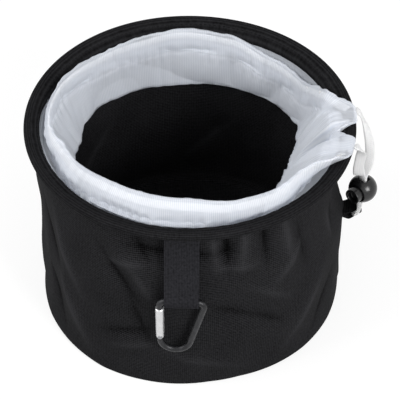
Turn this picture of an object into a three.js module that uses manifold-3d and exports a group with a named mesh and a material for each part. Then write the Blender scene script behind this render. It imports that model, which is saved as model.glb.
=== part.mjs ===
// Round peg bag: a soft woven tube with a sprung wire rim, a white drawstring collar pushed down inside,
// a ball cord lock on the side and a tape hanger with a small carabiner on the front.
// Millimetres, +Z up. The origin is the centre of the base on the surface it stands on,
// the hanger is on the -Y side and the side seam with the cord lock is on the +X side.
import * as THREE from 'three';
import { mergeVertices } from 'three/addons/utils/BufferGeometryUtils.js';
import Module from 'manifold-3d';

const wasm = await Module();
wasm.setup();

// Driving dimensions
const CLEAR = 0.3; // between neighbouring pieces
const SEGMENTS = 60; // steps round the bag, shared by every ring so that their flats stay parallel

const HOOP_RADIUS = 97.2; // to the centre of the wire
const HOOP_HEIGHT = 139.3;
const HOOP_WIRE = 3;

const BINDING_THICK = 0.8;
const BINDING_REACH = 6.4; // from the wire's centre to the sewn edge
const RIM_TILT = 20; // degrees, outer edge up

const WALL_THICK = 1;
const BELLY_RADIUS = 95.6;
const BELLY_HEIGHT = 26;
const SHOULDER_RADIUS = 94.6;
const SHOULDER_HEIGHT = 84;
const SIDE_BULGE = 1.3; // the seam side stands out more than the far side
const BASE_RADIUS = 91; // flat part of the bottom
const BASE_CORNER = 6.1; // from the flat bottom out to the wall, where the cloth turns up
const BASE_THICK = 1;

const COLLAR_THICK = 0.8;
const COLLAR_DROP = 45; // from the wire's height down to the fold where it hangs straight
const FOLD_GAP = 2.4; // between the two layers at the fold
const LINER_EASE = 0.2; // the outer layer's lean inwards, half way down to the fold
const LINER_SAG = 0.05; // the share of the fold's sag that it follows there
const CASING_DEPTH = 18;
const CASING_CHANNEL = 1.8; // inside the hem

const CORD_WIDTH = 5.6;
const CORD_THICK = 1;
const CORD_PINCHED = 5; // width where the lock holds it
const CORD_PITCH = 1.3; // between the two strands in the lock
const TUNNEL_FROM = 1; // first and last step round the bag that the cord takes in the casing
const TUNNEL_TO = 57;

const LOCK_RADIUS = 9;
const LOCK_OUT = 11.3; // centre of the ball, out from the wire's centre
const LOCK_HEIGHT = 86;
const LOCK_TURN = 230; // degrees, the way the button points
const BUTTON_RADIUS = 5.1;
const BUTTON_REACH = 11;
const BUTTON_TRAVEL = 2;
const BUTTON_RECESS = 3.4;
const BUTTON_RECESS_DEPTH = 3;
const BUTTON_BACK = 1.7; // behind its cord hole
const LOCK_FLOOR = 6; // bottom of the button's bore, behind the cord hole
const LOCK_LAND = 6.4; // flat mouth of that bore
const CORD_HOLE = [5, 6.4]; // along the button and across it
const LOCK_SPRING_WIRE = 0.5;
const LOCK_SPRING_RADIUS = 3.4;
const LOCK_SPRING_TURNS = 2.5;

const TAPE_THICK = 1;
const SIDE_TAPE_WIDTH = 12;
const SIDE_LOOP_HEIGHT = 67;
const SIDE_LOOP_REACH = 11.4;
const SIDE_LOOP_RISE = 5.4;
const SIDE_LOOP_SAG = 3;

const HANGER_WIDTH = 20;
const HANGER_LENGTH = 46.5; // from the sewn edge to the carabiner's bar
const HANGER_SEAM = 7;
const EYE_SLACK = 0.8; // round the bar, so that the bends at its ends turn freely

const ROD = 4;
const CARABINER_OUT = 3.6; // plane of the carabiner, out from the belly
const GATE_LINE = 12.8; // gate's centre line, left of the hanger's middle
const LIMB_REACH = 13; // right limb at its top corner
const NOSE_CORNER = 3.8;
const LIMB_CORNER = 4.4;
const BOTTOM_CORNER = 9;
const BOTTOM_DROP = 34.6; // from the bar to the centre of the bottom bend
const NOSE_DROP = 5.6;
const GATE_RADIUS = 2.6;
const PIVOT_DROP = 30.5;
const TANG = [3.2, 1.6]; // width and thickness
const TONGUE = [2.4, 1.4, 2.6]; // width, thickness and length
const PIN_RADIUS = 0.8;
const PIN_HEAD_RADIUS = 1.3;
const PIN_HEAD = 0.4;
const GATE_BORE_RADIUS = 1.5;
const GATE_BORE_LENGTH = 11;
const GATE_SPRING_WIRE = 0.5;
const GATE_SPRING_TURNS = 5;

const CLOTH_BLACK = 0x141416;
const TAPE_BLACK = 0x18181a;
const VOILE_WHITE = 0xf2f3f5;
const PLASTIC_BLACK = 0x101012;
const ANODISED_BLACK = 0x1c1c1f;
const STEEL = 0xb9bcc0;
const GATE_SILVER = 0xd8d9da;

const radians = THREE.MathUtils.degToRad;
const point2 = (r, z) => new THREE.Vector2(r, z);
const point3 = (x, y, z) => new THREE.Vector3(x, y, z);

// Shared operations

// A closed solid from vertices and triangles, turned so that its faces look outwards.
function solid(vertices, triangles) {
  let volume = 0;
  for (const [a, b, c] of triangles) {
    volume += vertices[a].dot(vertices[b].clone().cross(vertices[c]));
  }
  const facing = volume > 0 ? triangles : triangles.map(([a, b, c]) => [a, c, b]);
  const geometry = new THREE.BufferGeometry();
  const places = vertices.flatMap((v) => v.toArray());
  geometry.setAttribute('position', new THREE.Float32BufferAttribute(places, 3));
  geometry.setIndex(facing.flat());
  return geometry;
}

// Skin over a row of rings of equal count, each face split along its shorter diagonal:
// a closed row joins up with its start, an open one is capped.
function loft(rings, closed) {
  const count = rings[0].length;
  const vertices = rings.flat();
  const triangles = [];
  const spans = closed ? rings.length : rings.length - 1;
  for (let k = 0; k < spans; k += 1) {
    const here = k * count;
    const next = ((k + 1) % rings.length) * count;
    for (let i = 0; i < count; i += 1) {
      const j = (i + 1) % count;
      const [a, b, c, d] = [here + i, here + j, next + j, next + i];
      if (vertices[a].distanceTo(vertices[c]) <= vertices[b].distanceTo(vertices[d])) {
        triangles.push([a, b, c], [a, c, d]);
      } else {
        triangles.push([a, b, d], [b, c, d]);
      }
    }
  }
  if (!closed) {
    const last = (rings.length - 1) * count;
    for (let i = 1; i < count - 1; i += 1) {
      triangles.push([0, i + 1, i], [last, last + i, last + i + 1]);
    }
  }
  return solid(vertices, triangles);
}

// Outline of a cloth strip of even thickness along a line of points, its corners mitred.
const SHARPEST_MITRE = 0.6; // cosine of half the sharpest corner that is mitred in full

function strip(line, thick) {
  const sides = [[], []];
  line.forEach((p, i) => {
    const before = p.clone().sub(line[Math.max(i - 1, 0)]);
    const after = line[Math.min(i + 1, line.length - 1)].clone().sub(p);
    const into = (i > 0 ? before : after).normalize();
    const onward = (i < line.length - 1 ? after : before).normalize();
    const along = into.clone().add(onward).normalize();
    const mitre = thick / 2 / Math.max(along.dot(into), SHARPEST_MITRE);
    const normal = point2(-along.y, along.x).multiplyScalar(mitre);
    sides[0].push(p.clone().add(normal));
    sides[1].unshift(p.clone().sub(normal));
  });
  return sides.flat();
}

// A ring round the bag's axis, from its outline at each angle.
function ringRound(outlineAt) {
  const rings = [];
  for (let k = 0; k < SEGMENTS; k += 1) {
    const turn = (k / SEGMENTS) * 2 * Math.PI;
    rings.push(outlineAt(turn).map((p) => point3(p.x * Math.cos(turn), p.x * Math.sin(turn), p.y)));
  }
  return loft(rings, true);
}

// A plate with its outline in the X-Z plane and its thickness along Y, or in Y-Z with it along X.
function plate(outline, thick, plane) {
  const options = { depth: thick, bevelEnabled: false, curveSegments: 12 };
  const geometry = new THREE.ExtrudeGeometry(outline, options);
  geometry.translate(0, 0, -thick / 2);
  const basis = new THREE.Matrix4();
  if (plane === 'xz') {
    basis.makeBasis(point3(1, 0, 0), point3(0, 0, 1), point3(0, -1, 0));
  } else {
    basis.makeBasis(point3(0, 1, 0), point3(0, 0, 1), point3(1, 0, 0));
  }
  return geometry.applyMatrix4(basis);
}

// A body turned about X or Y from a closed profile of radius and distance along that axis.
function turned(profile, sides, axis) {
  const geometry = new THREE.LatheGeometry(profile.map(([r, along]) => point2(r, along)), sides);
  if (axis === 'x') {
    geometry.rotateZ(-Math.PI / 2);
  }
  return geometry;
}

// A coil spring of round wire about the Z axis, its first wire centre at z = 0.
function coil(radius, wire, height, turns, stepsPerTurn) {
  const rings = [];
  const steps = Math.round(turns * stepsPerTurn);
  const sides = 5;
  for (let k = 0; k <= steps; k += 1) {
    const turn = (k / stepsPerTurn) * 2 * Math.PI;
    const out = point3(Math.cos(turn), Math.sin(turn), 0);
    const middle = out.clone().multiplyScalar(radius).setZ((k / steps) * height);
    const ring = [];
    for (let i = 0; i < sides; i += 1) {
      const around = (i / sides) * 2 * Math.PI;
      const off = out.clone().multiplyScalar((Math.cos(around) * wire) / 2);
      off.z = (Math.sin(around) * wire) / 2;
      ring.push(middle.clone().add(off));
    }
    rings.push(ring);
  }
  return loft(rings, false);
}

function toManifold(geometry) {
  const bare = geometry.clone();
  bare.deleteAttribute('normal');
  bare.deleteAttribute('uv');
  const merged = mergeVertices(bare, 1e-4);
  const mesh = new wasm.Mesh({
    numProp: 3,
    vertProperties: new Float32Array(merged.attributes.position.array),
    triVerts: new Uint32Array(merged.index.array),
  });
  return new wasm.Manifold(mesh);
}

function fromManifold(body) {
  const mesh = body.getMesh();
  const geometry = new THREE.BufferGeometry();
  geometry.setAttribute('position', new THREE.BufferAttribute(new Float32Array(mesh.vertProperties), 3));
  geometry.setIndex(new THREE.BufferAttribute(new Uint32Array(mesh.triVerts), 1));
  return geometry;
}

const join = (first, ...others) =>
  fromManifold(others.reduce((body, other) => body.add(toManifold(other)), toManifold(first)));
const cut = (first, ...others) =>
  fromManifold(others.reduce((body, other) => body.subtract(toManifold(other)), toManifold(first)));
const common = (first, second) => fromManifold(toManifold(first).intersect(toManifold(second)));

const bag = new THREE.Group();

function addPart(parent, name, geometry, colour, roughness, metalness = 0) {
  const material = new THREE.MeshStandardMaterial({ color: colour, roughness, metalness });
  const mesh = new THREE.Mesh(geometry, material);
  mesh.name = name;
  parent.add(mesh);
  return mesh;
}

// Rim: a wire hoop in a folded tape, tilted so that its outer edge stands up
const tilt = radians(RIM_TILT);
const bindingInner = HOOP_WIRE / 2 + CLEAR;
const bindingOuter = bindingInner + BINDING_THICK;
const slitHalf = (WALL_THICK + COLLAR_THICK + 3 * CLEAR) / 2;

// Place in the rim's own section: u outwards along the tilted tape, v square to it.
function inRim(u, v) {
  const r = HOOP_RADIUS + u * Math.cos(tilt) - v * Math.sin(tilt);
  const z = HOOP_HEIGHT + u * Math.sin(tilt) + v * Math.cos(tilt);
  return point2(r, z);
}

function rimHoop() {
  const sides = 8;
  const outline = [];
  for (let i = 0; i < sides; i += 1) {
    const around = (i / sides) * 2 * Math.PI;
    outline.push(inRim((Math.cos(around) * HOOP_WIRE) / 2, (Math.sin(around) * HOOP_WIRE) / 2));
  }
  return ringRound(() => outline);
}

// The tape folds round the wire and leaves a slit at its sewn edge for the wall and the collar.
function rimBinding() {
  const steps = 6;
  const outline = [];
  const bend = (radius, from, to) => {
    for (let i = 0; i <= steps; i += 1) {
      const around = radians(from + ((to - from) * i) / steps);
      outline.push(inRim(Math.cos(around) * radius, Math.sin(around) * radius));
    }
  };
  outline.push(inRim(-BINDING_REACH, -slitHalf - BINDING_THICK));
  bend(bindingOuter, -90, 90);
  outline.push(inRim(-BINDING_REACH, slitHalf + BINDING_THICK));
  outline.push(inRim(-BINDING_REACH, slitHalf));
  bend(bindingInner, 90, -90);
  outline.push(inRim(-BINDING_REACH, -slitHalf));
  return ringRound(() => outline);
}

addPart(bag, 'rim_hoop', rimHoop(), STEEL, 0.35, 1);
addPart(bag, 'rim_binding', rimBinding(), TAPE_BLACK, 0.85);

// Body: the wall turns in under the base panel and flares out at the top into the rim's slit
const seamEnd = -(HOOP_WIRE / 2 + 3 * CLEAR);
const wallLift = -slitHalf + CLEAR + WALL_THICK / 2;
const collarLift = slitHalf - CLEAR - COLLAR_THICK / 2;
const neckRadius = inRim(-BINDING_REACH, -slitHalf).x - CLEAR - WALL_THICK / 2;
const neckHeight = inRim(-BINDING_REACH, -slitHalf - BINDING_THICK).y;

// The bulge is fullest low down, and gone at the base and at the neck.
function bulgeAt(turn, z) {
  const share = Math.min(z / neckHeight, 1) ** 0.6;
  return SIDE_BULGE * Math.cos(turn) * Math.sin(Math.PI * share);
}

// Middle of the cloth, from the base seam up to the neck.
function wallLine(turn) {
  const curve = new THREE.SplineCurve([
    point2(BASE_RADIUS, WALL_THICK / 2),
    point2(BASE_RADIUS + 0.55 * BASE_CORNER, WALL_THICK),
    point2(BASE_RADIUS + 0.87 * BASE_CORNER, 0.7 * BASE_CORNER),
    point2(BELLY_RADIUS, BELLY_HEIGHT),
    point2(SHOULDER_RADIUS, SHOULDER_HEIGHT),
    point2(neckRadius + 1, neckHeight - 8),
    point2(neckRadius, neckHeight - WALL_THICK / 2),
  ]);
  const line = curve.getPoints(9).map((p) => point2(p.x + bulgeAt(turn, p.y), p.y));
  line[0].set(BASE_RADIUS, WALL_THICK / 2);
  line.push(inRim(-BINDING_REACH - WALL_THICK / 2, wallLift));
  line.push(inRim(seamEnd, wallLift));
  return line;
}

// Radius of the wall's outer face at a height, at one angle round the bag.
function wallOuter(turn, z) {
  const line = wallLine(turn);
  const above = line.findIndex((p) => p.y >= z);
  const from = line[Math.max(above - 1, 0)];
  const to = line[above];
  return THREE.MathUtils.mapLinear(z, from.y, to.y, from.x, to.x) + WALL_THICK / 2;
}

function basePanel() {
  const geometry = new THREE.CylinderGeometry(BASE_RADIUS - CLEAR, BASE_RADIUS - CLEAR, BASE_THICK, SEGMENTS);
  geometry.rotateX(Math.PI / 2);
  return geometry.translate(0, 0, BASE_THICK / 2);
}

addPart(bag, 'body_wall', ringRound((turn) => strip(wallLine(turn), WALL_THICK)), CLOTH_BLACK, 0.9);
addPart(bag, 'base_panel', basePanel(), CLOTH_BLACK, 0.9);

// Collar: sewn in the rim's slit, down to a fold inside the bag and up again to the hemmed casing
const linerRadius = neckRadius - WALL_THICK / 2 - 3 * CLEAR - COLLAR_THICK / 2;
const hemStep = CASING_CHANNEL + COLLAR_THICK;
const casingRadius = linerRadius - COLLAR_THICK - CLEAR - hemStep;

// How the collar lies round the mouth: angle, shift of the casing's seam inwards, its height from the hoop,
// the casing's lean outwards in degrees and depth of hem, then how far the fold hangs inwards and how high.
// Two arms lie over the rim where the cord comes out, and between their open ends the hem is undone.
const COLLAR_STANCE = [
  [-90, 0, -7, -24, 15, 12, 10],
  [-67, 0, -9, -16, 15, 14, 12],
  [-49, 0, -12, -15, 15, 19, 14],
  [-36, 5, -13, -6, 15, 23, 16],
  [-30, 5, -11, 6, 6, 25, 16],
  [-24, 3, -5, 36, 0, 26, 16],
  [-18, 1.6, 0.6, 72, 0, 26, 15],
  [-12, 1.6, 1.2, 75, 0, 26, 15],
  [-6, 0.6, -14, 18, 0, 25, 14],
  [0, 1.6, 1, 75, 0, 24, 13],
  [6, 1.6, 1, 74, 0, 23, 11],
  [12, 4, -2, 62, 0, 21, 8],
  [18, 2, -12, 12, 6, 18, 5],
  [24, 2, -20, 4, 12, 13, 2],
  [36, 0.8, -29, 0, 15, 3, 0],
  [58, 0.5, -27, 0, 15, 0, 0],
  [75, 0.2, -20, 0, 15, 0, 0],
  [97, 0, -17.5, 0, 15, 0, 0],
  [116, 0.2, -20, 0, 15, 0, 0],
  [136, 0.3, -20, -2, 15, 1, 1],
  [150, 0.4, -17, -4, 15, 6, 3],
  [164, 0.2, -14, -6, 15, 12, 3],
  [190, 0, -11, -9, 15, 15, 7],
  [212, 0, -10, -26, 15, 15, 9],
  [240, 0, -7.5, -27, 15, 13, 10],
  [270, 0, -7, -24, 15, 12, 10],
];

function stanceAt(turn) {
  let degrees = THREE.MathUtils.radToDeg(turn);
  if (degrees > 270) {
    degrees -= 360;
  }
  const above = Math.max(COLLAR_STANCE.findIndex((row) => row[0] >= degrees), 1);
  const from = COLLAR_STANCE[above - 1];
  const to = COLLAR_STANCE[above];
  const share = (degrees - from[0]) / (to[0] - from[0]);
  const [, inset, rise, lean, hem, sag, lift] = from.map((value, i) => value + (to[i] - value) * share);
  const up = point2(Math.sin(radians(lean)), Math.cos(radians(lean)));
  const out = point2(up.y, -up.x);
  const seam = point2(casingRadius - inset, HOOP_HEIGHT + rise);
  const top = seam.clone().addScaledVector(up, CASING_DEPTH);
  const fold = point2(linerRadius - COLLAR_THICK - FOLD_GAP - sag, HOOP_HEIGHT - COLLAR_DROP + lift);
  return { seam, top, up, out, hem, sag, fold };
}

// The hem turns over outwards round the cord's channel, or runs on straight where it is undone.
function hemLine({ top, up, out, hem }) {
  const place = (along, across) => top.clone().addScaledVector(up, along).addScaledVector(out, across);
  if (hem === 0) {
    return [0.3, 0.6, 0.9, 1.2].map((share) => place(share * hemStep, 0));
  }
  const crown = 0.35 * hemStep;
  return [
    place(crown, 0.15 * hemStep),
    place(crown, 0.85 * hemStep),
    place(0, hemStep),
    place(-hem, hemStep),
  ];
}

// The fold lies open towards the middle of what it hangs from, the rim's seam and the casing's.
function collarLine(turn) {
  const stance = stanceAt(turn);
  const { seam, top, fold, sag } = stance;
  const neck = point2(linerRadius, neckHeight);
  const hang = neck.clone().add(seam).multiplyScalar(0.5).sub(fold).normalize();
  const inwards = point2(-hang.y, hang.x);
  const atFold = (side) => {
    const across = (side * FOLD_GAP) / 2;
    return fold.clone().addScaledVector(hang, FOLD_GAP).addScaledVector(inwards, across);
  };
  return [
    inRim(seamEnd, collarLift),
    inRim(-BINDING_REACH - WALL_THICK - CLEAR, collarLift),
    neck,
    point2(linerRadius - LINER_EASE - LINER_SAG * sag, (neckHeight + fold.y) / 2),
    atFold(-1),
    fold,
    atFold(1),
    atFold(1).add(seam).multiplyScalar(0.5),
    seam,
    top,
    ...hemLine(stance),
  ];
}

const drawstringCollar = ringRound((turn) => strip(collarLine(turn), COLLAR_THICK));
addPart(bag, 'drawstring_collar', drawstringCollar, VOILE_WHITE, 0.8);

// Cord lock: a ball with a sprung button across the cord hole. Its own X axis runs out along the button
// and its own Z axis up the cord.
const lock = new THREE.Group();
lock.position.set(HOOP_RADIUS + LOCK_OUT, 0, LOCK_HEIGHT);
lock.rotation.z = radians(LOCK_TURN);
bag.add(lock);

const boreRadius = BUTTON_RADIUS + CLEAR;
const buttonBack = BUTTON_TRAVEL - CORD_HOLE[0] / 2 - BUTTON_BACK;

function cordHole(along) {
  const [length, width] = CORD_HOLE;
  const geometry = new THREE.BoxGeometry(length, width, 4 * LOCK_RADIUS);
  return geometry.translate(along, 0, 0);
}

function lockBody() {
  const ball = new THREE.SphereGeometry(LOCK_RADIUS, 24, 14);
  ball.rotateX(Math.PI / 2);
  const past = 2 * LOCK_RADIUS;
  const profile = [[0, -LOCK_FLOOR], [boreRadius, -LOCK_FLOOR], [boreRadius, past], [0, past]];
  const bore = turned(profile, 20, 'x');
  const face = new THREE.BoxGeometry(LOCK_RADIUS, 3 * LOCK_RADIUS, 3 * LOCK_RADIUS);
  face.translate(LOCK_LAND + LOCK_RADIUS / 2, 0, 0);
  return cut(ball, bore, face, cordHole(0));
}

function lockButton() {
  const floor = BUTTON_REACH - BUTTON_RECESS_DEPTH;
  const edge = 0.5;
  const profile = [
    [0, buttonBack],
    [BUTTON_RADIUS, buttonBack],
    [BUTTON_RADIUS, BUTTON_REACH - edge],
    [BUTTON_RADIUS - edge, BUTTON_REACH],
    [BUTTON_RECESS, BUTTON_REACH],
    [BUTTON_RECESS - edge, floor],
    [0, floor],
  ];
  return cut(turned(profile, 20, 'x'), cordHole(BUTTON_TRAVEL));
}

function lockSpring() {
  const room = LOCK_FLOOR + buttonBack - 2 * CLEAR - LOCK_SPRING_WIRE;
  const geometry = coil(LOCK_SPRING_RADIUS, LOCK_SPRING_WIRE, room, LOCK_SPRING_TURNS, 10);
  geometry.rotateY(Math.PI / 2);
  return geometry.translate(-LOCK_FLOOR + CLEAR + LOCK_SPRING_WIRE / 2, 0, 0);
}

addPart(lock, 'cord_lock_body', lockBody(), PLASTIC_BLACK, 0.35);
addPart(lock, 'cord_lock_plunger', lockButton(), PLASTIC_BLACK, 0.4);
addPart(lock, 'cord_lock_spring', lockSpring(), STEEL, 0.3, 1);

// Side loop: a short tape folded through the cord's bight and sewn into the side seam
const loopRoot = wallOuter(0, SIDE_LOOP_HEIGHT) + 1.5 * CLEAR;

function sideLoop() {
  const tip = point2(loopRoot + SIDE_LOOP_REACH, SIDE_LOOP_HEIGHT + SIDE_LOOP_RISE);
  const line = [
    point2(loopRoot, SIDE_LOOP_HEIGHT + TAPE_THICK / 2 + CLEAR / 2),
    point2(loopRoot + SIDE_LOOP_REACH * 0.45, SIDE_LOOP_HEIGHT + SIDE_LOOP_RISE * 0.62),
    point2(tip.x - 1.6, tip.y + 0.8),
    point2(tip.x - 0.2, tip.y + 0.1),
    point2(tip.x - 0.3, tip.y - 1.8),
    point2(tip.x - 3, tip.y - 4.2),
    point2(loopRoot + SIDE_LOOP_REACH * 0.42, SIDE_LOOP_HEIGHT - SIDE_LOOP_SAG * 0.75),
    point2(loopRoot, SIDE_LOOP_HEIGHT - TAPE_THICK / 2 - CLEAR / 2),
  ];
  const outline = new THREE.Shape(strip(line, TAPE_THICK));
  return plate(outline, SIDE_TAPE_WIDTH, 'xz');
}

addPart(bag, 'side_loop', sideLoop(), TAPE_BLACK, 0.85);

// Drawcord: one flat loop, in the casing all round the mouth, out over the rim at the two arms,
// down through the lock and through the side loop
const buttonWay = point3(Math.cos(lock.rotation.z), Math.sin(lock.rotation.z), 0);
const acrossLock = point3(-buttonWay.y, buttonWay.x, 0);
const ballTop = LOCK_HEIGHT + LOCK_RADIUS;
const ballFoot = LOCK_HEIGHT - LOCK_RADIUS;

// One place on the cord: its middle, the way its width lies, and that width.
function cordAt(x, y, z, across, width = CORD_WIDTH) {
  return { at: point3(x, y, z), across: point3(...across).normalize(), width };
}

// A strand's place in the lock, at a height: side 1 is the strand nearer the button.
function cordInLock(side, height) {
  const along = BUTTON_TRAVEL / 2 + (side * CORD_PITCH) / 2;
  const middle = lock.position.clone().addScaledVector(buttonWay, along);
  return cordAt(middle.x, middle.y, height, acrossLock.toArray(), CORD_PINCHED);
}

// In the casing: just under the hem's fold, with its width along the casing.
function cordInCasing(step) {
  const turn = (step / SEGMENTS) * 2 * Math.PI;
  const { top, up, out } = stanceAt(turn);
  const middle = top.clone().addScaledVector(out, hemStep / 2).addScaledVector(up, -CORD_PINCHED / 2 - CLEAR);
  const round = (p) => [p.x * Math.cos(turn), p.x * Math.sin(turn), p.y];
  return cordAt(...round(middle), round(up), CORD_PINCHED);
}

// From the front arm over the rim, down through the lock, through the side loop and up to the back arm.
const FREE_ROUTE = [
  cordAt(97.6, -25.4, 143.4, [0.6, -0.75, 0.1], 4.6),
  cordAt(100.4, -23.2, 142, [0, -1, 0]),
  cordAt(102.2, -21.6, 137.6, [0.1, -1, 0]),
  cordAt(102.4, -18.4, 128, [0.5, -0.86, 0]),
  cordAt(102.6, -13.6, 117, [0.85, -0.5, 0]),
  cordAt(104.2, -7.6, 106, [0.9, -0.4, 0]),
  cordInLock(1, ballTop + 1.5),
  cordInLock(1, LOCK_HEIGHT),
  cordInLock(1, ballFoot + 0.5),
  cordAt(107.2, -3.8, 75.3, [1, -0.2, 0], 4.6),
  cordAt(106.8, -7, 74.2, [1, 0, 0.2], 4),
  cordAt(105.6, -8.6, 71.8, [0.9, 0, 0.4], 4),
  cordAt(104.4, -7, 69.6, [0.88, 0, 0.47], 4),
  cordAt(104.3, 0, 69.4, [0.88, 0, 0.47], 4),
  cordAt(104.4, 7, 69.6, [0.88, 0, 0.47], 4),
  cordAt(105.8, 8.6, 71.8, [0.9, 0, 0.4], 4),
  cordAt(107.2, 6.6, 74.2, [1, 0, 0.2], 4),
  cordAt(108, 2.8, 75.3, [1, -0.2, 0], 4.6),
  cordInLock(-1, ballFoot + 0.5),
  cordInLock(-1, LOCK_HEIGHT),
  cordInLock(-1, ballTop + 1.5),
  cordAt(110.6, 3.8, 104.5, [1, -0.2, 0]),
  cordAt(110.6, 7.4, 114, [1, 0.1, 0]),
  cordAt(107.8, 8.6, 126, [0.7, 0.7, 0]),
  cordAt(104.2, 8, 136.6, [0.1, 1, 0]),
  cordAt(101.9, 7.4, 142, [0, 1, 0]),
  cordAt(99, 8.6, 143.6, [0.6, 0.75, 0.1], 4.6),
];

function drawcord() {
  const stations = [];
  for (let step = TUNNEL_FROM; step <= TUNNEL_TO; step += 1) {
    stations.push(cordInCasing(step));
  }
  stations.push(...FREE_ROUTE);
  const count = stations.length;
  const rings = stations.map(({ at, across, width }, k) => {
    const along = stations[(k + 1) % count].at.clone().sub(stations[(k + count - 1) % count].at).normalize();
    const face = along.clone().cross(across).normalize();
    const side = face.clone().cross(along);
    const corner = (w, t) =>
      at.clone().addScaledVector(side, (w * width) / 2).addScaledVector(face, (t * CORD_THICK) / 2);
    return [corner(-1, 0), corner(-0.7, 1), corner(0.7, 1), corner(1, 0), corner(0.7, -1), corner(-0.7, -1)];
  });
  return loft(rings, true);
}

addPart(bag, 'drawcord', drawcord(), VOILE_WHITE, 0.75);

// Hanger: a flat tape doubled over the carabiner's bar and sewn under the rim, where its end is rounded
const planeOut = BELLY_RADIUS + WALL_THICK / 2 + CARABINER_OUT;
const hangerTop = neckHeight - 1.5 * TAPE_THICK - CLEAR;
const hangerOut = wallOuter(-Math.PI / 2, hangerTop) + TAPE_THICK + CLEAR;
const hangerSlope = Math.asin((planeOut - hangerOut) / HANGER_LENGTH);
const barHeight = hangerTop - HANGER_LENGTH * Math.cos(hangerSlope);
const eyeInner = ROD / 2 + EYE_SLACK;
const eyeOuter = eyeInner + TAPE_THICK;

function hangerLoop() {
  const outline = new THREE.Shape();
  const eye = new THREE.Path();
  const flare = Math.asin((eyeOuter - TAPE_THICK) / HANGER_LENGTH);
  outline.absarc(0, 0, TAPE_THICK, flare, Math.PI - flare, false);
  outline.absarc(0, -HANGER_LENGTH, eyeOuter, Math.PI - flare, 2 * Math.PI + flare, false);
  eye.absarc(0, -HANGER_LENGTH, eyeInner, Math.PI - flare, 2 * Math.PI + flare, false);
  eye.lineTo(CLEAR, -HANGER_SEAM);
  eye.lineTo(-CLEAR, -HANGER_SEAM);
  outline.holes.push(eye);
  const geometry = plate(outline, HANGER_WIDTH, 'yz');
  geometry.rotateX(-hangerSlope);
  return geometry.translate(0, -hangerOut, hangerTop);
}

addPart(bag, 'hanger_loop', hangerLoop(), TAPE_BLACK, 0.85);

// Carabiner: a bent rod with a sprung gate, hanging from its bar in the hanger's eye
const carabiner = new THREE.Group();
carabiner.position.set(0, -planeOut, barHeight);
bag.add(carabiner);

const shoulder = -PIVOT_DROP - GATE_RADIUS - CLEAR;
const gateTop = -NOSE_DROP - 1.3 * CLEAR;
const slotHalf = (thick) => thick / 2 + CLEAR;

// Points on an arc in the carabiner's plane, with the outward direction at each.
function bendPoints(x, z, radius, from, to, steps) {
  const points = [];
  for (let i = 0; i <= steps; i += 1) {
    const around = from + ((to - from) * i) / steps;
    points.push([x + radius * Math.cos(around), z + radius * Math.sin(around), around]);
  }
  return points;
}

function carabinerRod() {
  const limbX = LIMB_REACH - LIMB_CORNER;
  const bottomX = BOTTOM_CORNER - GATE_LINE;
  const dx = bottomX - limbX;
  const dz = LIMB_CORNER - BOTTOM_DROP;
  const limbTurn = Math.atan2(dz, dx) + Math.acos((LIMB_CORNER - BOTTOM_CORNER) / Math.hypot(dx, dz));
  const path = [
    [-GATE_LINE, -NOSE_DROP, Math.PI],
    ...bendPoints(NOSE_CORNER - GATE_LINE, -NOSE_CORNER, NOSE_CORNER, Math.PI, Math.PI / 2, 5),
    ...bendPoints(limbX, -LIMB_CORNER, LIMB_CORNER, Math.PI / 2, limbTurn, 5),
    ...bendPoints(bottomX, -BOTTOM_DROP, BOTTOM_CORNER, limbTurn, -Math.PI, 10),
    [-GATE_LINE, shoulder, -Math.PI],
  ];
  const sides = 10;
  const rings = path.map(([x, z, around]) => {
    const ring = [];
    for (let i = 0; i < sides; i += 1) {
      const turn = (i / sides) * 2 * Math.PI;
      const out = (Math.cos(turn) * ROD) / 2;
      ring.push(point3(x + out * Math.cos(around), (Math.sin(turn) * ROD) / 2, z + out * Math.sin(around)));
    }
    return ring;
  });
  return loft(rings, false);
}

// A flat tab with a round end, centred on the gate's line, from one height to the middle of its round end.
function tab(width, from, to) {
  const outline = new THREE.Shape();
  const way = Math.sign(to - from);
  outline.moveTo(-GATE_LINE - width / 2, from);
  outline.lineTo(-GATE_LINE - width / 2, to);
  outline.absarc(-GATE_LINE, to, width / 2, Math.PI, 0, way > 0);
  outline.lineTo(-GATE_LINE + width / 2, from);
  return outline;
}

function alongY(radius, length) {
  const geometry = new THREE.CylinderGeometry(radius, radius, length, 12);
  return geometry.translate(-GATE_LINE, 0, -PIVOT_DROP);
}

// The rod's lower end is flattened to a tang for the gate's pin, the nose to a tongue for the gate's slot.
function carabinerFrame() {
  const sunk = 0.6;
  const [tangWidth, tangThick] = TANG;
  const [tongueWidth, tongueThick, tongueLength] = TONGUE;
  const tongueEnd = -NOSE_DROP - tongueLength + tongueWidth / 2;
  const tang = plate(tab(tangWidth, shoulder - sunk, -PIVOT_DROP), tangThick, 'xz');
  const tongue = plate(tab(tongueWidth, -NOSE_DROP + sunk, tongueEnd), tongueThick, 'xz');
  const hole = alongY(PIN_RADIUS + CLEAR, 2 * ROD);
  return cut(join(carabinerRod(), tang, tongue), hole);
}

function slotBox(thick, from, to) {
  const geometry = new THREE.BoxGeometry(4 * GATE_RADIUS, 2 * slotHalf(thick), to - from);
  return geometry.translate(-GATE_LINE, 0, (from + to) / 2);
}

const boreFrom = -PIVOT_DROP + TANG[0] / 2 + CLEAR;

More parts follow.
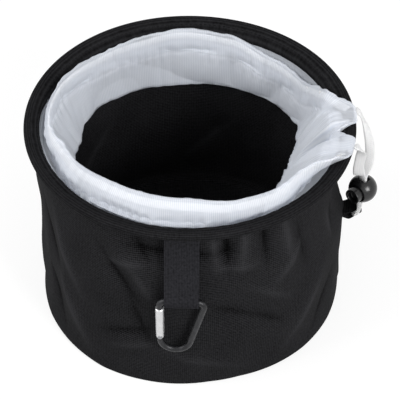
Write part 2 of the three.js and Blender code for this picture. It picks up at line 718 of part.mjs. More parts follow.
function carabinerGate() {
  const length = gateTop + PIVOT_DROP + GATE_RADIUS;
  const rod = new THREE.CylinderGeometry(GATE_RADIUS, GATE_RADIUS, length, 16);
  rod.rotateX(Math.PI / 2);
  rod.translate(-GATE_LINE, 0, gateTop - length / 2);
  const face = tab(2 * GATE_RADIUS + CLEAR, gateTop + 1, -PIVOT_DROP);
  const rounded = common(rod, plate(face, 4 * GATE_RADIUS, 'xz'));
  const bore = new THREE.CylinderGeometry(GATE_BORE_RADIUS, GATE_BORE_RADIUS, GATE_BORE_LENGTH, 12);
  bore.rotateX(Math.PI / 2);
  bore.translate(-GATE_LINE, 0, boreFrom + GATE_BORE_LENGTH / 2);
  const tangSlot = slotBox(TANG[1], -PIVOT_DROP - 2 * GATE_RADIUS, boreFrom);
  const tongueSlot = slotBox(TONGUE[1], -NOSE_DROP - TONGUE[2] - 2 * CLEAR, gateTop + 1);
  return cut(rounded, bore, tangSlot, tongueSlot, alongY(PIN_RADIUS + CLEAR, 4 * GATE_RADIUS));
}

function gatePin() {
  const seat = GATE_RADIUS + CLEAR / 2;
  const profile = [
    [0, -seat - PIN_HEAD],
    [PIN_HEAD_RADIUS * 0.7, -seat - PIN_HEAD],
    [PIN_HEAD_RADIUS, -seat],
    [PIN_RADIUS, -seat],
    [PIN_RADIUS, seat],
    [PIN_HEAD_RADIUS, seat],
    [PIN_HEAD_RADIUS * 0.7, seat + PIN_HEAD],
    [0, seat + PIN_HEAD],
  ];
  return turned(profile, 12, 'y').translate(-GATE_LINE, 0, -PIVOT_DROP);
}

function gateSpring() {
  const radius = GATE_BORE_RADIUS - CLEAR - GATE_SPRING_WIRE / 2;
  const height = GATE_BORE_LENGTH - 2 * CLEAR - GATE_SPRING_WIRE;
  const geometry = coil(radius, GATE_SPRING_WIRE, height, GATE_SPRING_TURNS, 8);
  return geometry.translate(-GATE_LINE, 0, boreFrom + CLEAR + GATE_SPRING_WIRE / 2);
}

addPart(carabiner, 'carabiner_frame', carabinerFrame(), ANODISED_BLACK, 0.4, 0.6);
addPart(carabiner, 'carabiner_gate', carabinerGate(), GATE_SILVER, 0.35, 0.9);
addPart(carabiner, 'gate_pin', gatePin(), STEEL, 0.3, 1);
addPart(carabiner, 'gate_spring', gateSpring(), STEEL, 0.3, 1);

export default bag;
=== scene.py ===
from math import acos, cos, hypot, pi, radians, sin, sqrt

import bmesh
import bpy
import numpy as np
from mathutils import Matrix, Vector


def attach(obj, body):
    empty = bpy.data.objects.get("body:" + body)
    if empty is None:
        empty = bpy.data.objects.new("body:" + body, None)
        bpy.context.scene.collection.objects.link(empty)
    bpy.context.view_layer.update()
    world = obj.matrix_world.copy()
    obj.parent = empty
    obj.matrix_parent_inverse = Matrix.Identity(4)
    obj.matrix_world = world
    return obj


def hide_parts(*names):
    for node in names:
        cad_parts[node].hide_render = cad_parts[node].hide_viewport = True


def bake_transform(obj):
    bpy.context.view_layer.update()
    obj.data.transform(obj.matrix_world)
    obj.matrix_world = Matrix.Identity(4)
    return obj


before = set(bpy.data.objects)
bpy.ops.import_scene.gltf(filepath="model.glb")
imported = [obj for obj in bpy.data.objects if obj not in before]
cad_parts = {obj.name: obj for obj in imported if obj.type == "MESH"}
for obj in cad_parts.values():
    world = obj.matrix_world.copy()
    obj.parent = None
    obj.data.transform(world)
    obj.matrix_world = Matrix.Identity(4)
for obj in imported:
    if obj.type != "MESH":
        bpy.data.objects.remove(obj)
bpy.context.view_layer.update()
scene = bpy.context.scene
scene.view_settings.view_transform = "Standard"


# Base panel: a round of black woven polyester, sewn into the foot of the wall with its seam turned to
# the inside as a low ridge. The weave runs straight across it.

MM = 0.001
SAME_SPOT = 0.002
BASE_RADIUS = 90.5
BASE_THICK = 0.9
BASE_RINGS = 8
BASE_STEPS = 144
# The edge and the ridge of its seam, as distances in from the edge and heights, from the underside up.
BASE_RIDGE = [(0.3, 0), (0, 0.3), (0, 1.8), (0.8, 2.5), (2.4, 2.2), (3.2, 1.0)]


def srgb(code):
    """The linear colour of an sRGB hex code."""
    shares = [int(code[k:k + 2], 16) / 255 for k in (0, 2, 4)]
    linear = [s / 12.92 if s <= 0.04045 else ((s + 0.055) / 1.055) ** 2.4 for s in shares]
    return (*linear, 1.0)


def feed(node, sockets):
    """Gives each of these sockets of a node its value, or links the output that feeds it."""
    for name, value in sockets.items():
        if isinstance(value, bpy.types.NodeSocket):
            node.id_data.links.new(value, node.inputs[name])
        else:
            node.inputs[name].default_value = value


def add_node(tree, kind, sockets=None, **settings):
    """Adds a shader node of this kind, with its settings and sockets."""
    node = tree.nodes.new("ShaderNode" + kind)
    for name, value in settings.items():
        setattr(node, name, value)
    feed(node, sockets or {})
    return node


def new_finish(name):
    """A new material, with its node tree and its shader."""
    material = bpy.data.materials.new(name)
    material.use_nodes = True
    return material, material.node_tree, material.node_tree.nodes["Principled BSDF"]


def two_tones(tree, factor, low, high, low_at=0.0, high_at=1.0):
    """A colour that goes from low to high, two sRGB codes, as the factor goes between two values."""
    share = add_node(tree, "MapRange", {"Value": factor, "From Min": low_at, "From Max": high_at})
    ramp = add_node(tree, "ValToRGB", {"Fac": share.outputs[0]})
    ramp.color_ramp.elements[0].color = srgb(low)
    ramp.color_ramp.elements[1].color = srgb(high)
    return ramp.outputs["Color"]


def weigh(tree, parts, start=0.0):
    """The sum of some nodes' factors, each times its share, on top of a start."""
    total = start
    for node, share in parts:
        sockets = {0: node.outputs["Fac"], 1: share, 2: total}
        total = add_node(tree, "Math", sockets, operation="MULTIPLY_ADD").outputs[0]
    return total


def bands(pitch):
    """The scale at which a wave texture has one band every so many millimetres."""
    return pi / 10 / (pitch * MM)


def grains(size):
    """The scale at which a noise texture has grains of so many millimetres."""
    return 1 / (size * MM)


def woven_polyester(name, crown, weft, warp, raised, gap="020202", on_cut=True):
    """Plain-woven polyester yarn, piece-dyed black: the crowns of the yarn take a little light and the
    gaps stay dark, so the cloth is matt with a fine cross rib, in faint patches where it was handled. A
    crease gets a painted highlight along its crest and painted shade in its groove, by the mesh's
    attribute painted_crease_shading."""
    material, tree, shader = new_finish(name)
    if on_cut:
        place = add_node(tree, "UVMap", uv_map="cut").outputs["UV"]
    else:
        place = add_node(tree, "TexCoord").outputs["Object"]
    uneven = {"Vector": place, "Distortion": 1.4, "Detail": 2.0, "Detail Scale": 0.5}
    across = add_node(tree, "TexWave", {**uneven, "Scale": bands(weft)}, bands_direction="Y")
    along = add_node(tree, "TexWave", {**uneven, "Scale": bands(warp)}, bands_direction="X")
    patches = add_node(tree, "TexNoise", {"Vector": place, "Scale": grains(26), "Detail": 4.0})
    slubs = add_node(tree, "TexNoise", {"Vector": place, "Scale": grains(1.6), "Detail": 3.0})
    # Painted light: the crease attribute paints a highlight along fold crests and shade in fold grooves into
    # the base colour.
    painted_crease_shading = add_node(tree, "Attribute", attribute_name="painted_crease_shading")
    relief = weigh(tree, [(across, 0.55), (along, 0.35)])
    tone = weigh(tree, [(slubs, 1.1), (patches, 0.5), (painted_crease_shading, 0.8)], start=relief)
    dull = add_node(tree, "MapRange", {"Value": patches.outputs["Fac"], "To Min": 0.72, "To Max": 0.9})
    bump = add_node(tree, "Bump", {"Height": relief, "Strength": 0.7, "Distance": raised * MM})
    feed(shader, {
        "Specular IOR Level": 0.02,
        "Base Color": two_tones(tree, tone, gap, crown, 0.6, 2.0),
        "Roughness": dull.outputs[0],
        "Normal": bump.outputs[0],
    })
    return material


def settle(name, bm, material, sharp_over=None):
    """The finished piece of a bmesh, shaded smooth, with edges left sharp over so many degrees."""
    mesh = bpy.data.meshes.new(name)
    bm.to_mesh(mesh)
    bm.free()
    mesh.shade_smooth()
    if sharp_over is not None:
        mesh.set_sharp_from_angle(angle=radians(sharp_over))
    mesh.materials.append(material)
    piece = bpy.data.objects.new(name, mesh)
    scene.collection.objects.link(piece)
    return piece


def turn(profile, steps):
    """A bmesh turned about Z from a profile of radius and height, in millimetres."""
    bm = bmesh.new()
    verts = [bm.verts.new((radius * MM, 0, height * MM)) for radius, height in profile]
    edges = [bm.edges.new(pair) for pair in zip(verts, verts[1:])]
    bmesh.ops.spin(
        bm, geom=verts + edges, cent=(0, 0, 0), axis=(0, 0, 1), angle=2 * pi, steps=steps, use_merge=True
    )
    bmesh.ops.remove_doubles(bm, verts=bm.verts, dist=SAME_SPOT * MM)
    bmesh.ops.recalc_face_normals(bm, faces=bm.faces)
    return bm


base_inside = BASE_RADIUS - BASE_RIDGE[-1][0]
base_profile = [(BASE_RADIUS * k / BASE_RINGS, 0) for k in range(BASE_RINGS)]
base_profile += [(BASE_RADIUS - inwards, height) for inwards, height in BASE_RIDGE]
base_profile += [(base_inside * k / BASE_RINGS, BASE_THICK) for k in reversed(range(BASE_RINGS))]
base_cloth = woven_polyester(
    "black_woven_polyester_base", "343436", weft=1.4, warp=1.2, raised=0.25, on_cut=False
)
base = settle("base_round", turn(base_profile, BASE_STEPS), base_cloth, sharp_over=50)
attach(base, "bag")
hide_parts("base_panel")


# Body wall: one strip of black woven polyester with a fine cross rib, sewn into a tube by a seam down
# the right side, to the base round at its foot and into the rim tape at its top. It stands by its own
# stiffness, so it bellies, drags from the seams and creases.

WALL_ROUND = 600.0
WALL_TALL = 145.0
WALL_THICK = 1.0
WALL_RADIUS = 95.0
WALL_COLUMNS = 440
WALL_ROWS = 110
WALL_LINE = [
    (90.6, 0.5), (94.4, 1.0), (96.3, 4.3), (95.6, 26.0), (94.6, 84.0), (91.9, 127.1), (90.85, 134.6),
    (90.9, 136.4), (95.1, 138.0),
]
NECK_HEIGHT = 135.1
SIDE_BULGE = 1.3
SEAM_RIDGE = 0.8
SEAM_SPREAD = 1.1
GATHER_COUNT = 58
GATHER_RISE = 0.34
GATHER_FADE = 7.0
# The tuck where the cloth sags in under the rim at the right, by height and by angle.
TUCK_DEPTH = 6.4
TUCK_FROM = 70.0
TUCK_GROWS = 28.0
TUCK_ENDS = 38.0
TUCK_ANGLE = -4.0
TUCK_SPREAD = 26.0
# Folds as angle and height of both ends, then width of the flanks and rise, with grooves below zero.
WALL_FOLDS = [
    ((-149, 130), (-128, 44), 8, 3.0), ((-162, 120), (-140, 52), 9, -2.4), ((-147, 74), (-124, 4), 8, 3.0),
    ((-160, 66), (-138, 4), 9, -2.4), ((-126, 122), (-101, 66), 8, -2.4), ((-113, 116), (-97, 72), 6, 2.0),
    ((-128, 34), (-94, 58), 7, -1.6), ((-124, 24), (-92, 46), 7, 1.5), ((-104, 40), (-62, 10), 9, 1.6),
    ((-81, 150), (-77, 98), 4.5, 2.4), ((-75, 150), (-73, 94), 4.5, -2.8), ((-68, 150), (-69, 98), 4, 2.8),
    ((-61, 150), (-58, 92), 4.5, -2.6), ((-54, 148), (-48, 88), 4.5, 2.6), ((-48, 136), (-38, 70), 7, -1.8),
    ((-109, 142), (-100, 98), 5, -1.8), ((-102, 112), (-82, 84), 6, 1.2), ((-70, 92), (-44, 60), 8, 1.7),
    ((-120, 121), (-62, 119), 7, -2.4), ((-124, 102), (-97, 110), 6, 2.2), ((-83, 109), (-58, 104), 6, 2.2),
    ((-40, 114), (-59, 76), 5, 2.4), ((-66, 66), (-48, 40), 6, -1.8), ((-112, 92), (-100, 30), 6, -1.6),
    ((-86, 84), (-56, 52), 9, -1.6), ((-26, 78), (-54, 10), 9, 2.2), ((-16, 62), (-40, 4), 9, -1.7),
    ((-30, 124), (-20, 66), 8, 1.8), ((-14, 122), (-24, 70), 8, -1.4), ((12, 124), (28, 62), 9, 2.0),
    ((36, 126), (62, 66), 9, -1.8), ((58, 118), (78, 72), 8, 1.8), ((70, 66), (100, 8), 10, 2.4),
    ((104, 128), (118, 78), 8, 1.9), ((122, 76), (152, 14), 10, 2.2), ((136, 122), (154, 84), 8, -1.5),
    ((150, 124), (170, 70), 8, -1.8), ((172, 70), (198, 10), 9, 2.0), ((182, 128), (192, 84), 7, 1.6),
]
# How far the foot stands out, by angle: the base is not quite round.
FOOT_REACH = [
    (-180, 1.0), (-154, 2.4), (-122, 1.9), (-106, -1.2), (-93, -3.2), (-80, -5.4), (-68, -5.2), (-55, -2.4),
    (-40, 0.6), (-22, 2.0), (0, 1.6), (40, 0.2), (90, -0.4), (140, 0.4), (180, 1.0),
]
FOOT_FROM = 0.5
FOOT_GROWS = 3.8
FOOT_FADE = 26.0
CREST_ROUND = 0.8
FINE_STEPS = 24
# Width, and share of each fold's rise, of the painted highlight on the folds' crests and the painted shade in
# their grooves.
CREASE_SHADING_WIDTH = 2.2
CREASE_SHADING_SHARE = 0.3


def spline(points, where):
    """Points on a smooth curve through the given ones, at places counted in points from the first."""
    p = np.asarray(points, float)
    ends = np.vstack([2 * p[0] - p[1], p, 2 * p[-1] - p[-2]])
    first = np.clip(np.floor(where).astype(int), 0, len(p) - 2)
    t = (where - first)[:, None]
    a, b, c, d = (ends[first + k] for k in range(4))
    return 0.5 * (2 * b + (c - a) * t + (2 * a - 5 * b + 4 * c - d) * t**2 + (3 * b - a - 3 * c + d) * t**3)


def run_along(spots):
    """The lengths along a line, from its first spot up to each of them."""
    return np.concatenate([[0], np.cumsum(np.linalg.norm(np.diff(spots, axis=0), axis=1))])


def trace(points):
    """A smooth curve through points, in fine steps: their places counted in points, the spots there, and
    the shares of its length up to them."""
    places = np.linspace(0, len(points) - 1, FINE_STEPS * len(points))
    spots = spline(points, places)
    run = run_along(spots)
    return places, spots, run / run[-1]


def smooth_line(points, shares):
    """Points at these shares of the length of a smooth curve through the given ones."""
    _, spots, run = trace(points)
    return np.stack([np.interp(shares, run, column) for column in spots.T], axis=-1)


def ease(share):
    """A smooth step from 0 to 1."""
    share = np.clip(share, 0, 1)
    return share * share * (3 - 2 * share)


def bell(off):
    """1 at no distance, and falling softly to 0 on both sides."""
    return np.exp(-(off**2))


def crumple(angle, height, seed, lobes, size, reach):
    """Soft random waves over a tube: up to so many lobes round it, of this size and upright reach."""
    draw = np.random.default_rng(seed)
    waves = np.zeros_like(angle)
    count = 14
    for _ in range(count):
        around = draw.integers(1, lobes + 1)
        up = draw.uniform(-1, 1) * 2 * pi / reach
        waves += draw.uniform(0.4, 1) * np.cos(around * angle + up * height + draw.uniform(0, 2 * pi))
    return size * waves / sqrt(count / 2)


def crinkle(angle, height, seed, lobes, size, reach):
    """Random puffs over a tube that meet in sharp creases, as crisp cloth does."""
    return size * (0.8 - np.abs(crumple(angle, height, seed, lobes, 1.0, reach)))


def crease(angle, height, fold):
    """The rise of one fold of the wall, highest along the line between its ends and fading past them."""
    (from_angle, from_height), (to_angle, to_height), width, rise = fold
    turn_by = (np.degrees(angle) - from_angle + 180) % 360 - 180
    x = np.radians(turn_by) * WALL_RADIUS
    y = height - from_height
    run = np.array([radians(to_angle - from_angle) * WALL_RADIUS, to_height - from_height])
    share = (x * run[0] + y * run[1]) / (run @ run)
    off = (x * run[1] - y * run[0]) / np.linalg.norm(run)
    fade = ease(2 * share) * ease(2 - 2 * share)
    return rise * fade * np.exp((CREST_ROUND - np.hypot(off, CREST_ROUND)) / width)


def form_strip(width, length, columns, rows, place, mark=None):
    """A bmesh strip, cut flat to a width and length in millimetres and then formed: place gives where
    the points at some shares of both come to lie. Its UV map keeps the flat cut, in metres. A mark, by
    name, gives a value to keep for each of the points."""
    bm = bmesh.new()
    cut = bm.loops.layers.uv.new("cut")
    bmesh.ops.create_grid(bm, x_segments=columns, y_segments=rows, size=0.5)
    across, along = (np.array([vert.co[:2] for vert in bm.verts]) + 0.5).T
    for face in bm.faces:
        for loop in face.loops:
            x, y = loop.vert.co[:2]
            loop[cut].uv = ((x + 0.5) * width * MM, (y + 0.5) * length * MM)
    if mark:
        name, value = mark
        layer = bm.verts.layers.float.new(name)
        for vert, worth in zip(bm.verts, value(across, along)):
            vert[layer] = worth
    for vert, spot in zip(bm.verts, place(across, along) * MM):
        vert.co = spot
    bmesh.ops.remove_doubles(bm, verts=bm.verts, dist=SAME_SPOT * MM)
    return bm


def upright(angle, radius, height):
    """Points at these angles, radii and heights."""
    return np.stack([radius * np.cos(angle), radius * np.sin(angle), height], axis=-1)


def between_seams(height, foot, neck, start=0.0):
    """Grows from 0 to 1 over so many millimetres above a start, and falls back over as many to the neck."""
    return ease((height - start) / foot) * ease((NECK_HEIGHT - height) / neck)


def wall_creases(angle, height, folds):
    """How far the wall stands out by these folds alone."""
    return between_seams(height, foot=6, neck=5) * sum(crease(angle, height, fold) for fold in folds)


def wall_rise(angle, height):
    """How far the wall's cloth stands out from its smooth section."""
    degrees = (np.degrees(angle) + 180) % 360 - 180
    loose = between_seams(height, foot=14, neck=9)
    rise = SIDE_BULGE * np.cos(angle) * np.sin(pi * np.clip(height / NECK_HEIGHT, 0, 1) ** 0.6)
    rise += loose * crumple(angle, height, seed=3, lobes=7, size=0.5, reach=150)
    rise += loose * crinkle(angle, height, seed=8, lobes=12, size=0.7, reach=60)
    rise += wall_creases(angle, height, WALL_FOLDS)
    foot = np.clip((height - FOOT_FROM) / FOOT_GROWS, 0, 1) ** 0.25 * np.exp(-height / FOOT_FADE)
    rise += foot * np.interp(degrees, *zip(*FOOT_REACH))
    tuck = between_seams(height, TUCK_GROWS, TUCK_ENDS, start=TUCK_FROM)
    rise -= TUCK_DEPTH * tuck * bell((degrees - TUCK_ANGLE) / TUCK_SPREAD)
    rise += SEAM_RIDGE * between_seams(height, foot=6, neck=4) * bell(degrees / SEAM_SPREAD)
    under_neck = NECK_HEIGHT - height
    gathers = np.cos(GATHER_COUNT * angle + 3 * np.sin(5 * angle)) * np.exp(-under_neck / GATHER_FADE)
    return rise + GATHER_RISE * gathers * ease(under_neck / 3)


def wall_place(around, up):
    """Where the wall's cloth lies, at shares of the way round it and up it."""
    angle = 2 * pi * around
    radius, height = smooth_line(WALL_LINE, up).T
    return upright(angle, radius + wall_rise(angle, height), height)


def wall_painted_crease_shading(around, up):
    """How much painted highlight lies on the wall's fold crests and painted shade in its grooves, at shares
    of the way round it and up it.
    """
    crests = [(start, end, CREASE_SHADING_WIDTH, CREASE_SHADING_SHARE * rise) for start, end, _, rise in WALL_FOLDS]
    return wall_creases(2 * pi * around, smooth_line(WALL_LINE, up)[:, 1], crests)


def thicken(piece, thick):
    """Gives a sheet its thickness, half of it to each side."""
    skin = piece.modifiers.new("thickness", "SOLIDIFY")
    skin.thickness = thick * MM
    skin.offset = 0
    return skin


wall_cloth = woven_polyester("black_woven_polyester", "333335", weft=1.4, warp=1.2, raised=0.3)
wall_inside = woven_polyester("black_polyester_coated_inside", "333335", weft=1.4, warp=1.2, raised=0.2)
# The wall's mesh carries the painted crease highlight and shade as an attribute that its cloth colour reads.
wall_bm = form_strip(WALL_ROUND, WALL_TALL, WALL_COLUMNS, WALL_ROWS, wall_place, ("painted_crease_shading", wall_painted_crease_shading))
wall = settle("body_wall_cloth", wall_bm, wall_cloth)
wall.data.materials.append(wall_inside)
thicken(wall, WALL_THICK).material_offset = 1
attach(wall, "bag")
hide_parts("body_wall")


# Rim hoop: a ring of drawn spring wire that keeps the mouth round. Its ends are butted, and it lies
# hidden in the fold of the rim tape.

def mottled(name, even, size, detail, rough, tones, spread=(0.0, 1.0), marks=None):
    """A surface with some even settings, whose tone and dullness follow a noise of this size in
    millimetres. Marks are a texture with its sockets and settings, then its strength and height."""
    material, tree, shader = new_finish(name)
    place = add_node(tree, "TexCoord").outputs["Object"]
    mottle = add_node(tree, "TexNoise", {"Vector": place, "Scale": grains(size), "Detail": detail})
    spots = mottle.outputs["Fac"]
    dull = add_node(tree, "MapRange", {"Value": spots, "To Min": rough[0], "To Max": rough[1]})
    colour = two_tones(tree, spots, *tones, *spread)
    feed(shader, {**even, "Base Color": colour, "Roughness": dull.outputs[0]})
    if marks:
        kind, sockets, settings, strength, high = marks
        relief = add_node(tree, kind, {"Vector": place, **sockets}, **settings).outputs["Fac"]
        bump = add_node(tree, "Bump", {"Height": relief, "Strength": strength, "Distance": high * MM})
        feed(shader, {"Normal": bump.outputs[0]})
    return material


def drawn_wire(name, tones):
    """Bright drawn steel: fine marks of the die run along it, so its shine is streaked."""
    return mottled(name, {"Metallic": 1.0}, size=0.4, detail=3.0, rough=(0.22, 0.42), tones=tones)


spring_wire = drawn_wire("drawn_spring_steel", ("96989B", "C4C6C9"))
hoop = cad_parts["rim_hoop"]
hoop.data.materials.clear()
hoop.data.materials.append(spring_wire)


# Rim binding: black woven tape folded round the hoop, its two edges sewn through the wall and the
# collar by one line of stitches, a few millimetres in from the fold.

HOOP_RADIUS = 97.2
HOOP_HEIGHT = 139.3
RIM_TILT = radians(20)
BINDING_WIDTH = 30.0
BINDING_REACH = 6.4
BINDING_WAIST = 0.62
BINDING_FOLD = 2.6
BINDING_THICK = 0.8
BINDING_EDGE = 2.15
BINDING_ROUND = 0.25
BINDING_HANG = 5.1
HANG_IN = 0.72
HANG_DOWN = 0.7
PUCKER_COUNT = 62
PUCKER_RISE = 0.1
BINDING_COLUMNS = 400
BINDING_ROWS = 60
STITCH_IN = 4.9
STITCH_PITCH = 3.1
STITCH_LONG = 2.3
STITCH_LIFT = 0.08
THREAD = 0.42


def in_rim(out, over):
    """Radius and height of a point so far out from the hoop's wire and over it, along the tilted rim."""
    return (
        HOOP_RADIUS + out * cos(RIM_TILT) - over * sin(RIM_TILT),
        HOOP_HEIGHT + out * sin(RIM_TILT) + over * cos(RIM_TILT),
    )


def tape_line(fold, edge, hang):
    """One face of the folded tape, from its upper edge round the wire to its lower edge. The upper edge
    may hang down over the inside by so much."""
    side = acos(-sqrt(1 - (edge / fold) ** 2))
    waist = -BINDING_WAIST * BINDING_REACH
    line = [
        (-BINDING_REACH - HANG_IN * hang, edge - HANG_DOWN * hang),
        (-BINDING_REACH + 1.2 - 0.5 * hang, edge - 0.1 * hang),
        (waist, edge + 0.05),
    ]
    line += [(fold * cos(a), fold * sin(a)) for a in np.linspace(side, -side, 11)]
    return line + [(waist, -edge - 0.05), (-BINDING_REACH, -edge)]


def tape_loop(hang, places):
    """Points of the tape's whole section, at shares of the way round it."""
    outer = tape_line(BINDING_FOLD, BINDING_EDGE, hang)
    inner = tape_line(BINDING_FOLD - BINDING_THICK, BINDING_EDGE - BINDING_THICK, hang)
    middle = BINDING_EDGE - BINDING_THICK / 2
    rim = -BINDING_REACH - BINDING_ROUND
    loop = outer + [(rim, -middle)] + inner[::-1] + [(rim - HANG_IN * hang, middle - HANG_DOWN * hang)]
    section = spline(loop + loop[:1], places * len(loop))
    section[places == 1] = section[places == 0][0]
    return section


def binding_place(around, across):
    """Where the rim tape lies, at shares of the way round the mouth and round its section."""
    angle = 2 * pi * around
    level = np.zeros_like(angle)
    over_back = ease((np.sin(angle) + 0.05) / 0.45)[:, None]
    section = tape_loop(0.0, across) * (1 - over_back) + tape_loop(BINDING_HANG, across) * over_back
    pucker = PUCKER_RISE * np.cos(PUCKER_COUNT * angle + 2 * np.sin(7 * angle))
    pucker += crumple(angle, level, seed=21, lobes=24, size=0.09, reach=1)
    flat = np.clip(-section[:, 0] / BINDING_REACH, 0, 1)
    radius, height = in_rim(section[:, 0], section[:, 1] + flat * pucker)
    sway = crumple(angle, level, seed=5, lobes=5, size=0.22, reach=1)
    bob = crumple(angle, level, seed=6, lobes=4, size=0.25, reach=1)
    return upright(angle, radius + sway, height + bob)


def sew(stitches):
    """A bmesh of stitches, each from its spot in millimetres, its way along the seam and its lift."""
    bm = bmesh.new()
    for spot, way, lift in stitches:
        side = lift.cross(way)
        axes = Matrix((way * STITCH_LONG / 2, side * THREAD / 2, lift * THREAD / 2)).transposed().to_4x4()
        matrix = Matrix.Translation(spot * MM) @ axes @ Matrix.Scale(MM, 4)
        bmesh.ops.create_uvsphere(bm, u_segments=6, v_segments=5, radius=1, matrix=matrix)
    return bm


rim_tape = woven_polyester("black_binding_tape", "2D2D2F", weft=1.1, warp=0.9, raised=0.2)
tape_round = 2 * pi * HOOP_RADIUS
binding_bm = form_strip(tape_round, BINDING_WIDTH, BINDING_COLUMNS, BINDING_ROWS, binding_place)
bmesh.ops.recalc_face_normals(binding_bm, faces=binding_bm.faces)
binding = settle("rim_tape", binding_bm, rim_tape)
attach(binding, "bag")
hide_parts("rim_binding")

black_thread = mottled(
    "black_polyester_thread", {"Specular IOR Level": 0.05}, size=0.3, detail=2.0, rough=(0.7, 0.7),
    tones=("060607", "161617"),
)
stitch_radius = HOOP_RADIUS - STITCH_IN
rim_stitches = []
for k in range(round(2 * pi * stitch_radius / STITCH_PITCH)):
    at = k * STITCH_PITCH / stitch_radius
    way = Vector((-sin(at), cos(at), 0))
    lift = Vector(upright(at, -sin(RIM_TILT), cos(RIM_TILT)))
    for face in (1, -1):
        spot = upright(at, *in_rim(-STITCH_IN, face * (BINDING_EDGE + STITCH_LIFT)))
        rim_stitches.append((Vector(spot), way, lift))
rim_seam = settle("rim_stitches", sew(rim_stitches), black_thread)
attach(rim_seam, "bag")


# Drawstring collar: a strip of sheer white polyester voile, sewn in at the rim, pushed down inside the
# bag and turned up again. Its free edge is hemmed outwards as a casing for the cord, and the casing's
# two ends are drawn out over the rim at the right.

COLLAR_ROUND = 572.0
COLLAR_LONG = 116.0
COLLAR_COLUMNS = 720
COLLAR_ROWS = 112
LINER_RADIUS = 89.05
FOLD_RADIUS = 85.85
FOLD_HEIGHT = 94.3
FOLD_BEND = 1.2
LINER_EASE = 0.2
LINER_SAG = 0.05
CASING_RADIUS = 85.35
CASING_DEPTH = 18.0
CASING_STITCH = 3.4
CASING_PUFF = 3.4
ARM_PUFF = 3.0
FULL_HEM = 15.0
COLLAR_IN_RIM = [(-2.4, 0.65), (-7.2, 0.1)]
# The casing's section, as shares of its depth and of its puff.
CASING_LINE = [(0.5, -0.22), (0.93, 0.06), (1.0, 0.4), (0.93, 0.76), (0.5, 1.0)]
# Which of the section's points are the casing's seam, its crown and the end of the hem.
CASING_SEAM = 8
CASING_CROWN = 11
HEM_END = 14
PART_LONG = 12
VOILE_GATHERS = 74
ARMS_AT = -0.07
ARMS_HALF = 0.46
ARMS_FADE = 0.14
COMMON_STANCE = (0, -13, -9, 15, 8, 4)
# Stance of the collar by angle: inset of the casing's seam, its rise over the hoop, lean outwards and depth
# of hem, then how far the fold hangs inwards and how high.
COLLAR_STANCE = [
    (-90, 0, -5.5, -29, 15, 12, 10), (-67, 0, -9, -18, 15, 14, 12), (-49, 1, -12, -15, 15, 19, 14),
    (-36, 5, -13, -6, 15, 23, 16), (-30, 5, -11, 6, 9, 25, 16), (-24, 3.6, -6, 34, 6, 26, 16),
    (-19.5, 2.6, -2, 60, 3, 26, 15), (-17, 3, 0.6, 72, 0, 26, 15), (-10.5, 3, 1, 74, 0, 26, 15),
    (-8.4, 2, -11, 26, 3, 25, 14), (-5, 1.6, -16, 10, 6, 25, 14), (-3.4, 2, -11, 26, 3, 25, 14),
    (-1.4, 3.2, 0.6, 72, 0, 24, 13), (6, 3.2, 1, 74, 0, 23, 11), (8, 4, -1, 68, 0, 22, 10),
    (10, 5, -5, 54, 2, 21, 9), (13, 6, -10, 36, 4, 20, 7), (17, 4, -13, 10, 6, 18, 5),
    (24, 2, -20, 2, 12, 13, 2), (36, 0.8, -29, 0, 15, 3, 0), (58, 0.5, -27, 0, 15, 0, 0),
    (75, 0.6, -20, 0, 15, 0, 0), (97, 0.6, -17.5, 0, 15, 0, 0), (116, 0.6, -20, 0, 15, 0, 0),
    (136, 0.5, -20, -2, 15, 1, 1), (150, 0.4, -17, -4, 15, 6, 3), (164, 0.2, -14, -6, 15, 12, 3),
    (190, 0, -11, -9, 15, 15, 7), (212, 0, -10, -26, 15, 15, 9), (240, 0, -6, -32, 15, 13, 10),
    (270, 0, -5.5, -29, 15, 12, 10),
]


def stance(angle):
    """The collar's inset, rise, lean, hem, sag and lift at these angles, eased between its rows."""
    rows = np.array(COLLAR_STANCE, float)
    degrees = (np.degrees(angle) + 90) % 360 - 90
    row = np.clip(np.searchsorted(rows[:, 0], degrees) - 1, 0, len(rows) - 2)
    share = ease((degrees - rows[row, 0]) / (rows[row + 1, 0] - rows[row, 0]))[:, None]
    return (rows[row, 1:] * (1 - share) + rows[row + 1, 1:] * share).T


def unit(ways):
    """These ways at the length of one."""
    return ways / np.linalg.norm(ways, axis=-1, keepdims=True)


def casing_frame(inset, rise, lean, hem):
    """The casing's seam at one angle, the ways up it and out from it, and how far it is puffed."""
    up = np.array([sin(radians(lean)), cos(radians(lean))])
    out = np.array([up[1], -up[0]])
    seam = np.array([CASING_RADIUS - inset, HOOP_HEIGHT + rise])
    return seam, up, out, ARM_PUFF + (CASING_PUFF - ARM_PUFF) * hem / FULL_HEM


def collar_line(inset, rise, lean, hem, sag, lift):
    """The collar's section at one angle, from the rim seam down to the fold and up round the casing."""
    seam, up, out, puff = casing_frame(inset, rise, lean, hem)
    rim = [in_rim(*spot) for spot in COLLAR_IN_RIM]
    neck = np.array([LINER_RADIUS, NECK_HEIGHT])
    fold = np.array([FOLD_RADIUS - sag, FOLD_HEIGHT + lift])
    liner = [neck, (LINER_RADIUS - LINER_EASE - LINER_SAG * sag, (NECK_HEIGHT + fold[1]) / 2)]
    hang = unit((neck + seam) / 2 - fold)
    inwards = np.array([-hang[1], hang[0]])
    turn_up = [fold + FOLD_BEND * (2 * hang - inwards), fold, fold + FOLD_BEND * (2 * hang + inwards)]
    inner = [(turn_up[2] + seam) / 2, seam]
    casing = [seam + deep * CASING_DEPTH * up + bulge * puff * out for deep, bulge in CASING_LINE]
    hem_edge = [seam + CASING_STITCH * up + 0.55 * out, seam + 0.05 * CASING_DEPTH * up + 0.65 * out]
    return np.array(rim + liner + turn_up + inner + casing + hem_edge)


